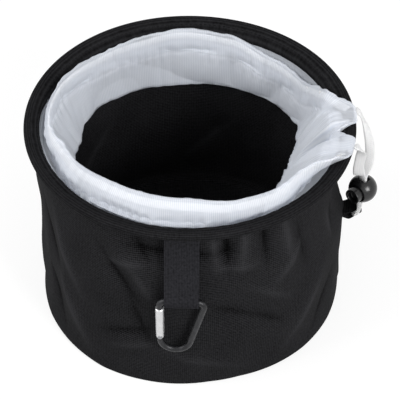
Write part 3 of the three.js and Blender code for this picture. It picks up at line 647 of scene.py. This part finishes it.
def collar_rise(angle, part):
    """How far the voile stands off its smooth section, by angle and by place along its points."""
    near_seam = bell((part - CASING_SEAM) / 0.5) + bell((part - HEM_END) / 0.5)
    gathers = np.cos(VOILE_GATHERS * angle + 4 * np.sin(6 * angle) + 2 * np.sin(13 * angle))
    level = PART_LONG * np.where(part < CASING_CROWN, part, 2 * CASING_CROWN - part)
    facing = np.tanh(3 * (CASING_CROWN - part))
    loose = ease((part - 1.5) / 1.5) * facing
    in_casing = ease(part - CASING_SEAM)
    rise = (0.4 * near_seam + 0.12 * in_casing) * gathers * facing
    rise += loose * (1 - 0.4 * in_casing) * crinkle(angle, level, seed=31, lobes=11, size=1.3, reach=46)
    return rise + loose * crinkle(angle, level, seed=37, lobes=44, size=0.55, reach=90)


common_line = collar_line(*COMMON_STANCE)
common_run = run_along(common_line)
collar_rows = np.interp(
    np.linspace(0, common_run[-1], COLLAR_ROWS + 1), common_run, np.arange(len(common_line))
)
collar_angles = np.linspace(0, 2 * pi, COLLAR_COLUMNS + 1)
collar_net = np.stack([spline(collar_line(*row), collar_rows) for row in zip(*stance(collar_angles))])
collar_net[-1] = collar_net[0]
collar_ways = unit(np.gradient(collar_net, axis=1))


def collar_place(around, up):
    """Where the voile lies, at shares of the way round the mouth and along its section."""
    column = np.rint(around * COLLAR_COLUMNS).astype(int)
    row = np.rint(up * COLLAR_ROWS).astype(int)
    angle = 2 * pi * around
    line = collar_net[column, row]
    way = collar_ways[column, row]
    rise = collar_rise(np.where(column == COLLAR_COLUMNS, 0, angle), collar_rows[row])
    return upright(angle, line[:, 0] + rise * way[:, 1], line[:, 1] - rise * way[:, 0])


def collar_gathered(around, up):
    """How closely the voile lies: gathered in the arms, less so in the casing, and doubled at the seams."""
    angle = (2 * pi * around + pi) % (2 * pi) - pi
    part = collar_rows[np.rint(up * COLLAR_ROWS).astype(int)]
    to_arms = ease((ARMS_HALF - np.abs(angle - ARMS_AT)) / ARMS_FADE) * ease((part - 6) / 1.5)
    in_casing = (0.4 + 0.1 * ease(-np.sin(angle) / 0.6)) * ease((part - CASING_SEAM + 0.5) / 0.5)
    seam_lines = bell((part - CASING_SEAM) / 0.16) + bell((part - HEM_END + 0.6) / 0.3)
    return np.maximum(to_arms, in_casing) + 0.9 * seam_lines


def sheer_voile(name):
    """Polyester voile: fine white yarn set so open that dark things behind show as grey, with single
    heavier threads as upright lines. It scatters light softly and has hardly any shine. It is closer
    where it is gathered, by the mesh's attribute gathered."""
    material, tree, shader = new_finish(name)
    place = add_node(tree, "UVMap", uv_map="cut").outputs["UV"]
    uneven = {"Vector": place, "Distortion": 0.8, "Detail": 2.0, "Detail Scale": 0.4}
    threads = add_node(tree, "TexWave", {**uneven, "Scale": bands(1.25)}, bands_direction="X")
    weft = add_node(tree, "TexWave", {**uneven, "Scale": bands(0.8)}, bands_direction="Y")
    patches = add_node(tree, "TexNoise", {"Vector": place, "Scale": grains(18), "Detail": 3.0})
    gathered = add_node(tree, "Attribute", attribute_name="gathered")
    tone = weigh(tree, [(patches, 0.5), (threads, 1.0)])
    relief = weigh(tree, [(weft, 0.4), (threads, 1.0)])
    cover = add_node(tree, "MapRange", {"Value": threads.outputs["Fac"], "To Min": 0.42, "To Max": 0.48})
    bump = add_node(tree, "Bump", {"Height": relief, "Strength": 0.12, "Distance": 0.1 * MM})
    feed(shader, {
        "Roughness": 0.8,
        "Specular IOR Level": 0.1,
        "Base Color": two_tones(tree, tone, "E8EEFA", "F5F8FD", 0.0, 1.4),
        "Alpha": weigh(tree, [(gathered, 0.12)], start=cover.outputs[0]),
        "Normal": bump.outputs[0],
    })
    return material


voile = sheer_voile("sheer_white_polyester_voile")
collar_mark = ("gathered", collar_gathered)
collar_bm = form_strip(COLLAR_ROUND, COLLAR_LONG, COLLAR_COLUMNS, COLLAR_ROWS, collar_place, collar_mark)
collar = settle("collar_voile", collar_bm, voile)
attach(collar, "bag")
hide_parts("drawstring_collar")


# Drawcord: one loop of soft white flat braid. It runs in the casing, comes out of both ends of it over
# the rim, goes down through the cord lock and is caught below in the side loop.

CORD_WIDTH = 5.6
CORD_THICK = 1.0
CORD_PINCHED = 5.0
CORD_SPREAD = 7.2
CORD_PITCH = 1.3
STRANDS_OFF = 1.0
CORD_AROUND = 16
BRAID_STEP = 1.2
PATH_POINTS = 200
STRAND_LONG = 70.0
BIGHT_LONG = 47.0
CASING_TURNS = 60
CROWN_GAP = 2.4
CORD_OUT = 0.42
LOCK_AT = Vector((108.5, 0, 86.0))
LOCK_ENTRY = 96.5
LOCK_UNDER = 80.0
LOCK_EXIT = 77.5
BIGHT_CATCH = 69.4
BUTTON_WAY = Vector((cos(radians(230)), sin(radians(230)), 0))


def white_braid(name):
    """Flat braid of white polyester yarn: two sets of yarn cross in chevrons along it, soft and matt."""
    material, tree, shader = new_finish(name)
    place = add_node(tree, "UVMap", uv_map="cut").outputs["UV"]
    slant = add_node(tree, "Mapping", {"Vector": place, "Rotation": (0, 0, radians(45))})
    yarn = {"Vector": slant.outputs[0], "Scale": bands(1.1)}
    there = add_node(tree, "TexWave", yarn, bands_direction="X")
    back = add_node(tree, "TexWave", yarn, bands_direction="Y")
    yarns = {0: there.outputs["Fac"], 1: back.outputs["Fac"]}
    cross = add_node(tree, "Math", yarns, operation="MAXIMUM").outputs[0]
    bump = add_node(tree, "Bump", {"Height": cross, "Strength": 0.4, "Distance": 0.2 * MM})
    feed(shader, {
        "Roughness": 0.75,
        "Specular IOR Level": 0.25,
        "Subsurface Weight": 1.0,
        "Subsurface Radius": (1, 1, 1),
        "Subsurface Scale": 4 * MM,
        "Base Color": two_tones(tree, cross, "E9EBEF", "FBFBFD"),
        "Normal": bump.outputs[0],
    })
    return material


braid = white_braid("white_flat_braid")


def in_lock(side, height):
    """A point of the route in the lock, where two strands lie side by side, the front one at 1."""
    spot = LOCK_AT + BUTTON_WAY * (STRANDS_OFF + side * CORD_PITCH / 2)
    return (spot.x, spot.y, height), (-BUTTON_WAY.y, BUTTON_WAY.x, 0), CORD_PINCHED


def close_ends(bm):
    """Fills a tube's open ends and turns its faces outwards."""
    bmesh.ops.holes_fill(bm, edges=[edge for edge in bm.edges if edge.is_boundary])
    bmesh.ops.recalc_face_normals(bm, faces=bm.faces)


def lay_braid(name, route):
    """The braid along a route of points, ways of its width and widths, as a closed flat ribbon, and the
    line of its middle."""
    spots, ways, widths = (np.array(column, float) for column in zip(*route))
    middle = smooth_line(spots, np.linspace(0, 1, PATH_POINTS))
    long = run_along(middle)[-1]
    rows = round(long / BRAID_STEP)
    shares = np.linspace(0, 1, rows + 1)
    places, _, run = trace(spots)
    known = np.interp(np.arange(len(spots)), places, run)
    line = smooth_line(spots, shares)
    forward = unit(np.gradient(line, axis=0))
    wide = np.stack([np.interp(shares, known, column) for column in ways.T], axis=-1)
    wide = unit(wide - forward * (wide * forward).sum(axis=1, keepdims=True))
    thick = np.cross(forward, wide)
    half = np.interp(shares, known, widths) / 2

    def place(around, along):
        """Where the braid's skin lies, at shares of the way round it and along it."""
        row = np.rint(along * rows).astype(int)
        angle = 2 * pi * np.where(around == 1, 0, around)
        flat = np.sign(np.cos(angle)) * np.abs(np.cos(angle)) ** 0.7
        deep = np.sign(np.sin(angle)) * np.abs(np.sin(angle)) ** 0.55
        to_side = wide[row] * (half[row] * flat)[:, None]
        return line[row] + to_side + thick[row] * (CORD_THICK / 2 * deep)[:, None]

    bm = form_strip(2 * CORD_WIDTH + 2 * CORD_THICK, long, CORD_AROUND, rows, place)
    close_ends(bm)
    piece = settle(name, bm, braid)
    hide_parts("drawcord")
    return piece, [Vector(spot) * MM for spot in middle]


def casing_route():
    """The cord's route inside the casing, from one end of it round to the other."""
    route = []
    for step in range(1, CASING_TURNS - 2):
        angle = 2 * pi * step / CASING_TURNS
        seam, up, out, puff = casing_frame(*stance(np.array([angle]))[:4, 0])
        spot = seam + CORD_OUT * puff * out + (CASING_DEPTH - CROWN_GAP - CORD_PINCHED / 2) * up
        route.append((upright(angle, *spot), upright(angle, *up), CORD_PINCHED))
    return route


FRONT_STRAND = [
    ((97.6, -25.4, 143.4), (0.6, -0.75, 0.1), 4.6),
    ((100.4, -23.2, 142.0), (0, -1, 0), CORD_WIDTH),
    ((102.2, -21.6, 137.6), (0.8, -0.4, 0), CORD_WIDTH),
    ((102.4, -18.4, 128.0), (1, 0.3, 0), CORD_SPREAD),
    ((102.6, -13.6, 117.0), (1, 0.4, 0), CORD_SPREAD),
    ((104.2, -7.6, 106.0), (1, 0.3, 0), CORD_SPREAD),
    in_lock(1, LOCK_ENTRY),
    in_lock(1, LOCK_AT.z),
]
BIGHT = [
    in_lock(1, LOCK_UNDER),
    in_lock(1, LOCK_EXIT),
    ((107.2, -3.8, 75.3), (1, -0.2, 0), 3.6),
    ((106.8, -7.0, 74.2), (1, 0, 0.2), 2.6),
    ((105.6, -8.6, 71.8), (0.9, 0, 0.4), 2.4),
    ((104.4, -7.0, 69.6), (0.88, 0, 0.47), 2.8),
    ((104.3, 0, BIGHT_CATCH), (0.88, 0, 0.47), 4.0),
    ((104.4, 7.0, 69.6), (0.88, 0, 0.47), 4.0),
    ((105.8, 8.6, 71.8), (0.9, 0, 0.4), 4.0),
    ((107.2, 6.6, 74.2), (1, 0, 0.2), 4.0),
    ((108.0, 2.8, 75.3), (1, -0.2, 0), 4.6),
    in_lock(-1, LOCK_EXIT),
    in_lock(-1, LOCK_UNDER),
]
BACK_STRAND = [
    in_lock(-1, LOCK_AT.z),
    in_lock(-1, LOCK_ENTRY),
    ((110.6, 3.8, 104.5), (1, -0.2, 0), CORD_WIDTH),
    ((110.6, 7.4, 114.0), (1, 0.1, 0), CORD_WIDTH),
    ((107.8, 8.6, 126.0), (0.7, 0.7, 0), CORD_WIDTH),
    ((104.2, 8.0, 136.6), (0.1, 1, 0), CORD_WIDTH),
    ((101.9, 7.4, 142.0), (0, 1, 0), CORD_WIDTH),
    ((99.0, 8.6, 143.6), (0.6, 0.75, 0.1), 4.6),
]
cased, _ = lay_braid("drawcord_in_casing", casing_route())
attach(cased, "bag")
for name, route, held_at, slides_at, long in (
    ("drawcord_front", FRONT_STRAND, FRONT_STRAND[0][0][2], LOCK_ENTRY, STRAND_LONG),
    ("drawcord_back", BACK_STRAND, BACK_STRAND[-1][0][2], LOCK_ENTRY, STRAND_LONG),
    ("drawcord_bight", BIGHT, BIGHT_CATCH, LOCK_EXIT, BIGHT_LONG),
):
    strand, path = lay_braid(name, route)
    end = Vector((0, 0, slides_at)) * MM
    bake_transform(strand)


# Cord lock: a ball of black moulded plastic with a spring-loaded button. Both have a cross hole, and the
# coil behind the button pushes the two out of line, so that they pinch the cord.

LOCK_RADIUS = 9.0
LOCK_BORE = 5.4
LOCK_FLOOR = -6.0
LOCK_LAND = 6.4
BUTTON_RADIUS = 5.1
BUTTON_BACK = -2.2
BUTTON_REACH = 11.0
BUTTON_RECESS = 3.4
RECESS_DEPTH = 3.0
RECESS_TAPER = 0.5
BUTTON_TRAVEL = 2.0
CORD_HOLE = (6.4, 40.0, 5.0)
LOCK_STEPS = 64
SHARP_OVER = 40
COIL_FROM = LOCK_FLOOR + 0.45
COIL_RISE = 2.7


def carve(piece, shape, operation="DIFFERENCE"):
    """Cuts another shape out of a piece, or joins the two, and drops that shape."""
    cut = piece.modifiers.new("cut", "BOOLEAN")
    cut.object = shape
    cut.operation = operation
    cut.solver = "EXACT"
    whole = bpy.data.meshes.new_from_object(piece.evaluated_get(bpy.context.evaluated_depsgraph_get()))
    piece.modifiers.clear()
    piece.data = whole
    bpy.data.objects.remove(shape)


def block(size, at, material):
    """A box of this size about a point, both in millimetres."""
    bm = bmesh.new()
    bmesh.ops.create_cube(bm, size=1, matrix=Matrix.LocRotScale(Vector(at) * MM, None, Vector(size) * MM))
    return settle("block", bm, material)


def seat(piece, matrix, rounding, segments=2, sharp_over=SHARP_OVER):
    """Moves a finished shape to its place, and rounds its sharp edges so that they catch the light."""
    piece.data.transform(matrix)
    piece.data.set_sharp_from_angle(angle=radians(sharp_over))
    edges = piece.modifiers.new("edges", "BEVEL")
    edges.width = rounding * MM
    edges.segments = segments
    edges.limit_method = "ANGLE"
    edges.angle_limit = radians(SHARP_OVER)


def coil(radius, wire, turns, rise, steps=28, sides=10):
    """A bmesh coil of wire about Z, from height 0 up."""
    bm = bmesh.new()
    across = Matrix.Translation((radius * MM, 0, 0)) @ Matrix.Rotation(pi / 2, 4, "X")
    ring = bmesh.ops.create_circle(bm, segments=sides, radius=wire / 2 * MM, matrix=across)["verts"]
    edges = list({edge for vert in ring for edge in vert.link_edges})
    count = round(turns * steps)
    bmesh.ops.spin(
        bm, geom=ring + edges, cent=(0, 0, 0), axis=(0, 0, 1), angle=2 * pi * turns, steps=count,
        dvec=(0, 0, rise / count * MM),
    )
    close_ends(bm)
    return bm


# Black acetal from a satin mould: an even soft shine, with faint flow marks and rubbed high spots.
acetal = mottled(
    "black_acetal", {"IOR": 1.48, "Specular IOR Level": 0.5}, size=4, detail=4.0, rough=(0.2, 0.34),
    tones=("0C0C0D", "151516"), spread=(0.3, 0.7),
    marks=("TexNoise", {"Scale": grains(0.35), "Detail": 2.0}, {}, 0.12, 0.1),
)
lock_frame = Matrix((
    (-BUTTON_WAY.y, 0, BUTTON_WAY.x, LOCK_AT.x * MM),
    (BUTTON_WAY.x, 0, BUTTON_WAY.y, LOCK_AT.y * MM),
    (0, 1, 0, LOCK_AT.z * MM),
    (0, 0, 0, 1),
))
land = acos(LOCK_LAND / LOCK_RADIUS)
ball_turns = np.linspace(pi, land, 26)
ball_profile = [(LOCK_RADIUS * sin(a), LOCK_RADIUS * cos(a)) for a in ball_turns]
ball_profile += [(LOCK_BORE, LOCK_LAND), (LOCK_BORE, LOCK_FLOOR), (0, LOCK_FLOOR)]
ball = settle("cord_lock_ball", turn(ball_profile, LOCK_STEPS), acetal)
carve(ball, block(CORD_HOLE, (0, 0, 0), acetal))
seat(ball, lock_frame, rounding=0.35)
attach(ball, "lock")
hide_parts("cord_lock_body")

recess_floor = BUTTON_REACH - RECESS_DEPTH
button_profile = [
    (0, BUTTON_BACK), (BUTTON_RADIUS, BUTTON_BACK), (BUTTON_RADIUS, BUTTON_REACH),
    (BUTTON_RECESS, BUTTON_REACH), (BUTTON_RECESS - RECESS_TAPER, recess_floor), (0, recess_floor),
]
button = settle("cord_lock_button", turn(button_profile, LOCK_STEPS), acetal)
carve(button, block(CORD_HOLE, (0, 0, BUTTON_TRAVEL), acetal))
seat(button, lock_frame, rounding=0.4, segments=3)
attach(button, "button")
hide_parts("cord_lock_plunger")

lock_coil = coil(radius=3.4, wire=0.5, turns=2.5, rise=COIL_RISE)
coil_frame = lock_frame @ Matrix.Translation((0, 0, COIL_FROM * MM))
bmesh.ops.transform(lock_coil, matrix=coil_frame, verts=lock_coil.verts)
lock_spring = settle("cord_lock_coil", lock_coil, spring_wire)
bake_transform(lock_spring)
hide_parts("cord_lock_spring")


# Side loop: a short end of black ribbed tape, doubled and caught in the wall's side seam. The cord's
# bight goes through it, so that the lock can't slip off.

SIDE_TAPE_WIDTH = 12.0
SIDE_TAPE_LONG = 31.0
TAPE_THICK = 1.0
SIDE_LOOP = [
    (96.4, 67.5), (99.5, 68.6), (102.1, 70.35), (106.8, 73.2), (108.2, 72.5), (108.1, 70.6), (105.4, 68.2),
    (101.8, 64.75), (99.2, 65.2), (96.4, 66.5),
]


def side_place(across, along):
    """Where the side loop's tape lies, at shares of its width and length."""
    out, height = smooth_line(SIDE_LOOP, along).T
    return np.stack([out, (across - 0.5) * SIDE_TAPE_WIDTH, height], axis=-1)


ribbed_tape = woven_polyester("black_ribbed_tape", "303032", weft=1.3, warp=1.0, raised=0.3)
side_bm = form_strip(SIDE_TAPE_WIDTH, SIDE_TAPE_LONG, columns=20, rows=60, place=side_place)
side_loop = settle("side_loop_tape", side_bm, ribbed_tape)
thicken(side_loop, TAPE_THICK)
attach(side_loop, "bag")
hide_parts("side_loop")


# Hanger loop: a flat black woven tape, doubled over the carabiner's bar, with both ends sewn to the wall
# under the rim.

HANGER_WIDTH = 20.0
HANGER_TAPE_LONG = 104.0
HANGER_OUT = 92.96
HANGER_TOP = 133.29
HANGER_SLOPE = 0.14548
HANGER_LENGTH = 46.5
HANGER_BOW = 0.35
EYE = 3.3
LAYER = 0.65
SELVEDGE = 1.5
SELVEDGE_RISE = 0.12
HANGER_LINE = [
    (LAYER, -1.2), (LAYER, 10), (LAYER + 0.3, 24), (2.2, 38), (EYE, 45.6), (2.35, 48.85), (0, 49.8),
    (-2.35, 48.85), (-EYE, 45.6), (-2.2, 38), (-LAYER - 0.3, 24), (-LAYER, 10), (-LAYER, -1.2),
]


def hanger_spot(width, front, down):
    """A point on the hanger: across it, in front of its middle, and down from its sewn edge."""
    y = -HANGER_OUT - front * cos(HANGER_SLOPE) - down * sin(HANGER_SLOPE)
    z = HANGER_TOP + front * sin(HANGER_SLOPE) - down * cos(HANGER_SLOPE)
    return np.stack([width, y, z], axis=-1)


def hanger_place(across, along):
    """Where the hanger's tape lies, at shares of its width and length."""
    front, down = smooth_line(HANGER_LINE, along).T
    width = (across - 0.5) * HANGER_WIDTH
    bow = HANGER_BOW * np.sin(pi * np.clip(down / HANGER_LENGTH, 0, 1)) * (2 * across - 1) ** 2
    to_edge = (HANGER_WIDTH / 2 - np.abs(width)) / SELVEDGE
    rib = SELVEDGE_RISE * np.exp(-((to_edge - 0.6) ** 2) * 6) * np.sign(front)
    return hanger_spot(width, front - bow + rib, down)


hanger_tape = woven_polyester("black_satin_tape", "36363A", weft=0.9, warp=0.9, raised=0.12, gap="0A0A0B")
hanger_bm = form_strip(HANGER_WIDTH, HANGER_TAPE_LONG, columns=56, rows=150, place=hanger_place)
hanger = settle("hanger_tape", hanger_bm, hanger_tape)
thicken(hanger, TAPE_THICK)
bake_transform(hanger)
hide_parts("hanger_loop")


# Carabiner: a small snap hook bent from one black anodised aluminium rod. The nose ends in a flat tongue
# that the gate's slot takes, and the other end is pressed flat as the tang that the gate turns on.

ROD = 4.0
BAR_AT = Vector((0, -99.7, 87.282))
GATE_LINE = -12.8
NOSE_CORNER = 3.8
NOSE_DROP = -5.6
LIMB_CORNER = 4.4
LIMB_REACH = 8.6
BOTTOM_CORNER = 9.0
BOTTOM_DROP = -34.6
SHOULDER = -33.4
PIVOT = -30.5
LIMB_RUN = (-7.941, -31.33)
TANG = (3.2, 1.6)
TANG_OVER = 1.4
TONGUE = (2.4, 1.4)
TONGUE_LONG = 2.6
ROOT = 1.0
ROD_SIDES = 32
BEND_STEP = radians(7)


def push_rod(bm, ring, way):
    """Runs the rod's open end straight on."""
    run = bmesh.ops.extrude_edge_only(bm, edges=ring)["geom"]
    verts = {part for part in run if isinstance(part, bmesh.types.BMVert)}
    bmesh.ops.translate(bm, verts=list(verts), vec=Vector(way) * MM)
    return [part for part in run if isinstance(part, bmesh.types.BMEdge) and set(part.verts) <= verts]


def bend_rod(bm, ring, centre, angle):
    """Bends the rod's open end on round a centre in the hook's plane."""
    verts = list({vert for edge in ring for vert in edge.verts})
    last = bmesh.ops.spin(
        bm, geom=verts + ring, cent=Vector(centre) * MM, axis=(0, 1, 0), angle=angle,
        steps=round(angle / BEND_STEP),
    )["geom_last"]
    return [part for part in last if isinstance(part, bmesh.types.BMEdge)]


# Aluminium, black anodised after bending: a satin dark skin with a soft metal shine, rubbed paler in fine
# specks.
black_anodised = mottled(
    "black_anodised_aluminium", {"Metallic": 0.6}, size=2.5, detail=6.0, rough=(0.3, 0.5),
    tones=("1C1C1E", "343437"), spread=(0.3, 0.8),
    marks=("TexNoise", {"Scale": grains(0.25), "Detail": 2.0}, {}, 0.1, 0.1),
)
rod_bm = bmesh.new()
nose_at = Matrix.Translation(Vector((GATE_LINE, 0, NOSE_DROP)) * MM)
nose = bmesh.ops.create_circle(rod_bm, segments=ROD_SIDES, radius=ROD / 2 * MM, matrix=nose_at)["verts"]
end = list({edge for vert in nose for edge in vert.link_edges})
lean = acos(LIMB_RUN[0] / hypot(*LIMB_RUN))
end = push_rod(rod_bm, end, (0, 0, -NOSE_CORNER - NOSE_DROP))
end = bend_rod(rod_bm, end, (GATE_LINE + NOSE_CORNER, 0, -NOSE_CORNER), pi / 2)
end = push_rod(rod_bm, end, (LIMB_REACH - GATE_LINE - NOSE_CORNER, 0, 0))
end = bend_rod(rod_bm, end, (LIMB_REACH, 0, -LIMB_CORNER), lean)
end = push_rod(rod_bm, end, (LIMB_RUN[0], 0, LIMB_RUN[1]))
end = bend_rod(rod_bm, end, (GATE_LINE + BOTTOM_CORNER, 0, BOTTOM_DROP), 3 * pi / 2 - lean)
end = push_rod(rod_bm, end, (0, 0, SHOULDER - BOTTOM_DROP))
close_ends(rod_bm)
rod = settle("carabiner_rod", rod_bm, black_anodised)
for wide, thick, low, high in (
    (*TONGUE, NOSE_DROP - TONGUE_LONG, NOSE_DROP + ROOT),
    (*TANG, SHOULDER - ROOT, PIVOT + TANG_OVER),
):
    flat_end = block((wide, thick, high - low), (GATE_LINE, 0, (low + high) / 2), black_anodised)
    carve(rod, flat_end, "UNION")
seat(rod, Matrix.Translation(BAR_AT * MM), rounding=0.3)
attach(rod, "carabiner")
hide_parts("carabiner_frame")


# Gate: a turned aluminium bar, left bright, slotted at the top for the nose and at the foot for the tang.
# A steel rivet through the tang is its hinge, and a coil in its bore pushes it shut.

GATE_RADIUS = 2.6
GATE_TOP = -5.99
GATE_FOOT = -33.1
GATE_CHAMFER = 0.5
GATE_STEPS = 40
NOSE_SLOT = (2.0, -8.5)
TANG_SLOT = (2.2, -28.6)
SLOT_RUN = 8.0
BORE = (1.5, 11.0)
PIN_RADIUS = 0.8
PIN_HEAD = (1.3, 0.4)
PIN_PLAY = 0.05
HEAD_SUNK = 0.35
COIL_GAP = 0.6

# Turned aluminium, tumbled bright: pale satin metal with fine rings from its turning.
rings = {"Scale": bands(0.5), "Distortion": 1.0, "Detail": 3.0}
gate_silver = mottled(
    "bright_turned_aluminium", {"Metallic": 1.0}, size=3, detail=5.0, rough=(0.28, 0.5),
    tones=("BDBDBE", "DCDCDD"), marks=("TexWave", rings, {"bands_direction": "Z"}, 0.1, 0.05),
)
gate_profile = [(0, GATE_TOP), (GATE_RADIUS - GATE_CHAMFER, GATE_TOP), (GATE_RADIUS, GATE_TOP - GATE_CHAMFER)]
for a in np.linspace(0, pi / 2, 8):
    gate_profile.append((GATE_RADIUS * cos(a), GATE_FOOT + GATE_RADIUS * (1 - sin(a))))
gate_at = Vector((GATE_LINE, 0, 0)) + BAR_AT
gate = settle("carabiner_gate_bar", turn(gate_profile, GATE_STEPS), gate_silver)
for (wide, floor_at), way in ((NOSE_SLOT, 1), (TANG_SLOT, -1)):
    carve(gate, block((SLOT_RUN, wide, SLOT_RUN), (0, 0, floor_at + way * SLOT_RUN / 2), gate_silver))
bore_profile = [(0, 0), (BORE[0], 0), (BORE[0], BORE[1] + ROOT), (0, BORE[1] + ROOT)]
bore = settle("bore", turn(bore_profile, 24), gate_silver)
bore.data.transform(Matrix.Translation((0, 0, (TANG_SLOT[1] - ROOT) * MM)))
carve(gate, bore)
seat(gate, Matrix.Translation(gate_at * MM), rounding=0.2, sharp_over=35)
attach(gate, "gate")
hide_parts("carabiner_gate")

head_radius, head_high = PIN_HEAD
pin_half = GATE_RADIUS + PIN_PLAY
pin_profile = [(0, -pin_half - head_high)]
pin_profile += [(head_radius * 0.6, -pin_half - 0.85 * head_high), (head_radius, -pin_half - 0.1)]
pin_profile += [(head_radius, -pin_half + HEAD_SUNK), (PIN_RADIUS, -pin_half + HEAD_SUNK)]
pin_profile += [(radius, -height) for radius, height in pin_profile[::-1]]
pin_bm = turn(pin_profile, 28)
pin_frame = Matrix.Translation((gate_at + Vector((0, 0, PIVOT))) * MM) @ Matrix.Rotation(pi / 2, 4, "X")
bmesh.ops.transform(pin_bm, matrix=pin_frame, verts=pin_bm.verts)
pin_steel = drawn_wire("peened_steel", ("77787B", "A4A5A8"))
pin = settle("gate_rivet", pin_bm, pin_steel, sharp_over=50)
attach(pin, "gate")
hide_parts("gate_pin")

gate_coil_bm = coil(radius=1.0, wire=0.5, turns=5, rise=9.5, steps=20, sides=8)
coil_at = gate_at + Vector((0, 0, TANG_SLOT[1] + COIL_GAP))
bmesh.ops.translate(gate_coil_bm, verts=gate_coil_bm.verts, vec=coil_at * MM)
gate_coil = settle("gate_coil", gate_coil_bm, spring_wire)
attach(gate_coil, "gate")
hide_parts("gate_spring")


# Studio: a plain white floor that keeps the bag's soft shadow, white surroundings, two wide soft lamps
# and the camera.

LENS = 120.0
SENSOR = 36.0
CAMERA_AZIMUTH = radians(2.8)
CAMERA_ELEVATION = radians(45.37)
CAMERA_DISTANCE = 0.8516
CAMERA_TARGET = Vector((0, 0, 0.070))
CAMERA_SHIFT = 0.025
WORLD_LIGHT = 0.52
WHITE = srgb("FFFFFF")


def split_light(tree, output, lights, seen):
    """Ends a tree in what lights the bag, and in what is seen, directly, in a gloss or through glass."""
    path = add_node(tree, "LightPath").outputs
    sees = path["Is Camera Ray"]
    for kind in ("Is Glossy Ray", "Is Transmission Ray"):
        sees = add_node(tree, "Math", {0: sees, 1: path[kind]}, operation="MAXIMUM").outputs[0]
    both = add_node(tree, "MixShader", {0: sees, 1: lights.outputs[0], 2: seen.outputs[0]})
    add_node(tree, output, {"Surface": both.outputs[0]})


floor_bm = bmesh.new()
bmesh.ops.create_grid(floor_bm, x_segments=4, y_segments=4, size=3)
floor_white, tree, _ = new_finish("white_paper_sweep")
tree.nodes.clear()
paper = add_node(tree, "BsdfDiffuse", {"Color": srgb("B3B3B3")})
shade = add_node(tree, "BsdfDiffuse", {"Color": srgb("959595")})
glow = add_node(tree, "Emission", {"Color": WHITE, "Strength": 0.75})
lit = add_node(tree, "AddShader", {0: shade.outputs[0], 1: glow.outputs[0]})
split_light(tree, "OutputMaterial", lights=paper, seen=lit)
floor = settle("floor", floor_bm, floor_white)

world = bpy.data.worlds.new("white_surroundings")
scene.world = world
world.use_nodes = True
tree = world.node_tree
tree.nodes.clear()
dim = add_node(tree, "Background", {"Color": WHITE, "Strength": WORLD_LIGHT})
white = add_node(tree, "Background", {"Color": WHITE, "Strength": 1.0})
split_light(tree, "OutputWorld", lights=dim, seen=white)


def aim(name, data, at, back):
    """Sets up a lamp or a camera at a spot, with its back this way."""
    holder = bpy.data.objects.new(name, data)
    holder.location = at
    holder.rotation_euler = back.to_track_quat("Z", "Y").to_euler()
    scene.collection.objects.link(holder)
    return holder


for name, at, power, size in (
    ("lamp_right", (0.9, -0.95, 0.78), 15.5, 0.6),
    ("lamp_left", (-1.05, -0.3, 0.85), 11, 0.9),
):
    lamp = bpy.data.lights.new(name, "AREA")
    lamp.energy = power
    lamp.size = size
    aim(name, lamp, at, Vector(at) - CAMERA_TARGET)

camera_data = bpy.data.cameras.new("camera")
camera_data.lens = LENS
camera_data.sensor_width = SENSOR
camera_data.shift_x = CAMERA_SHIFT
back = Vector(upright(CAMERA_AZIMUTH - pi / 2, cos(CAMERA_ELEVATION), sin(CAMERA_ELEVATION)))
scene.camera = aim("camera", camera_data, CAMERA_TARGET + CAMERA_DISTANCE * back, back)
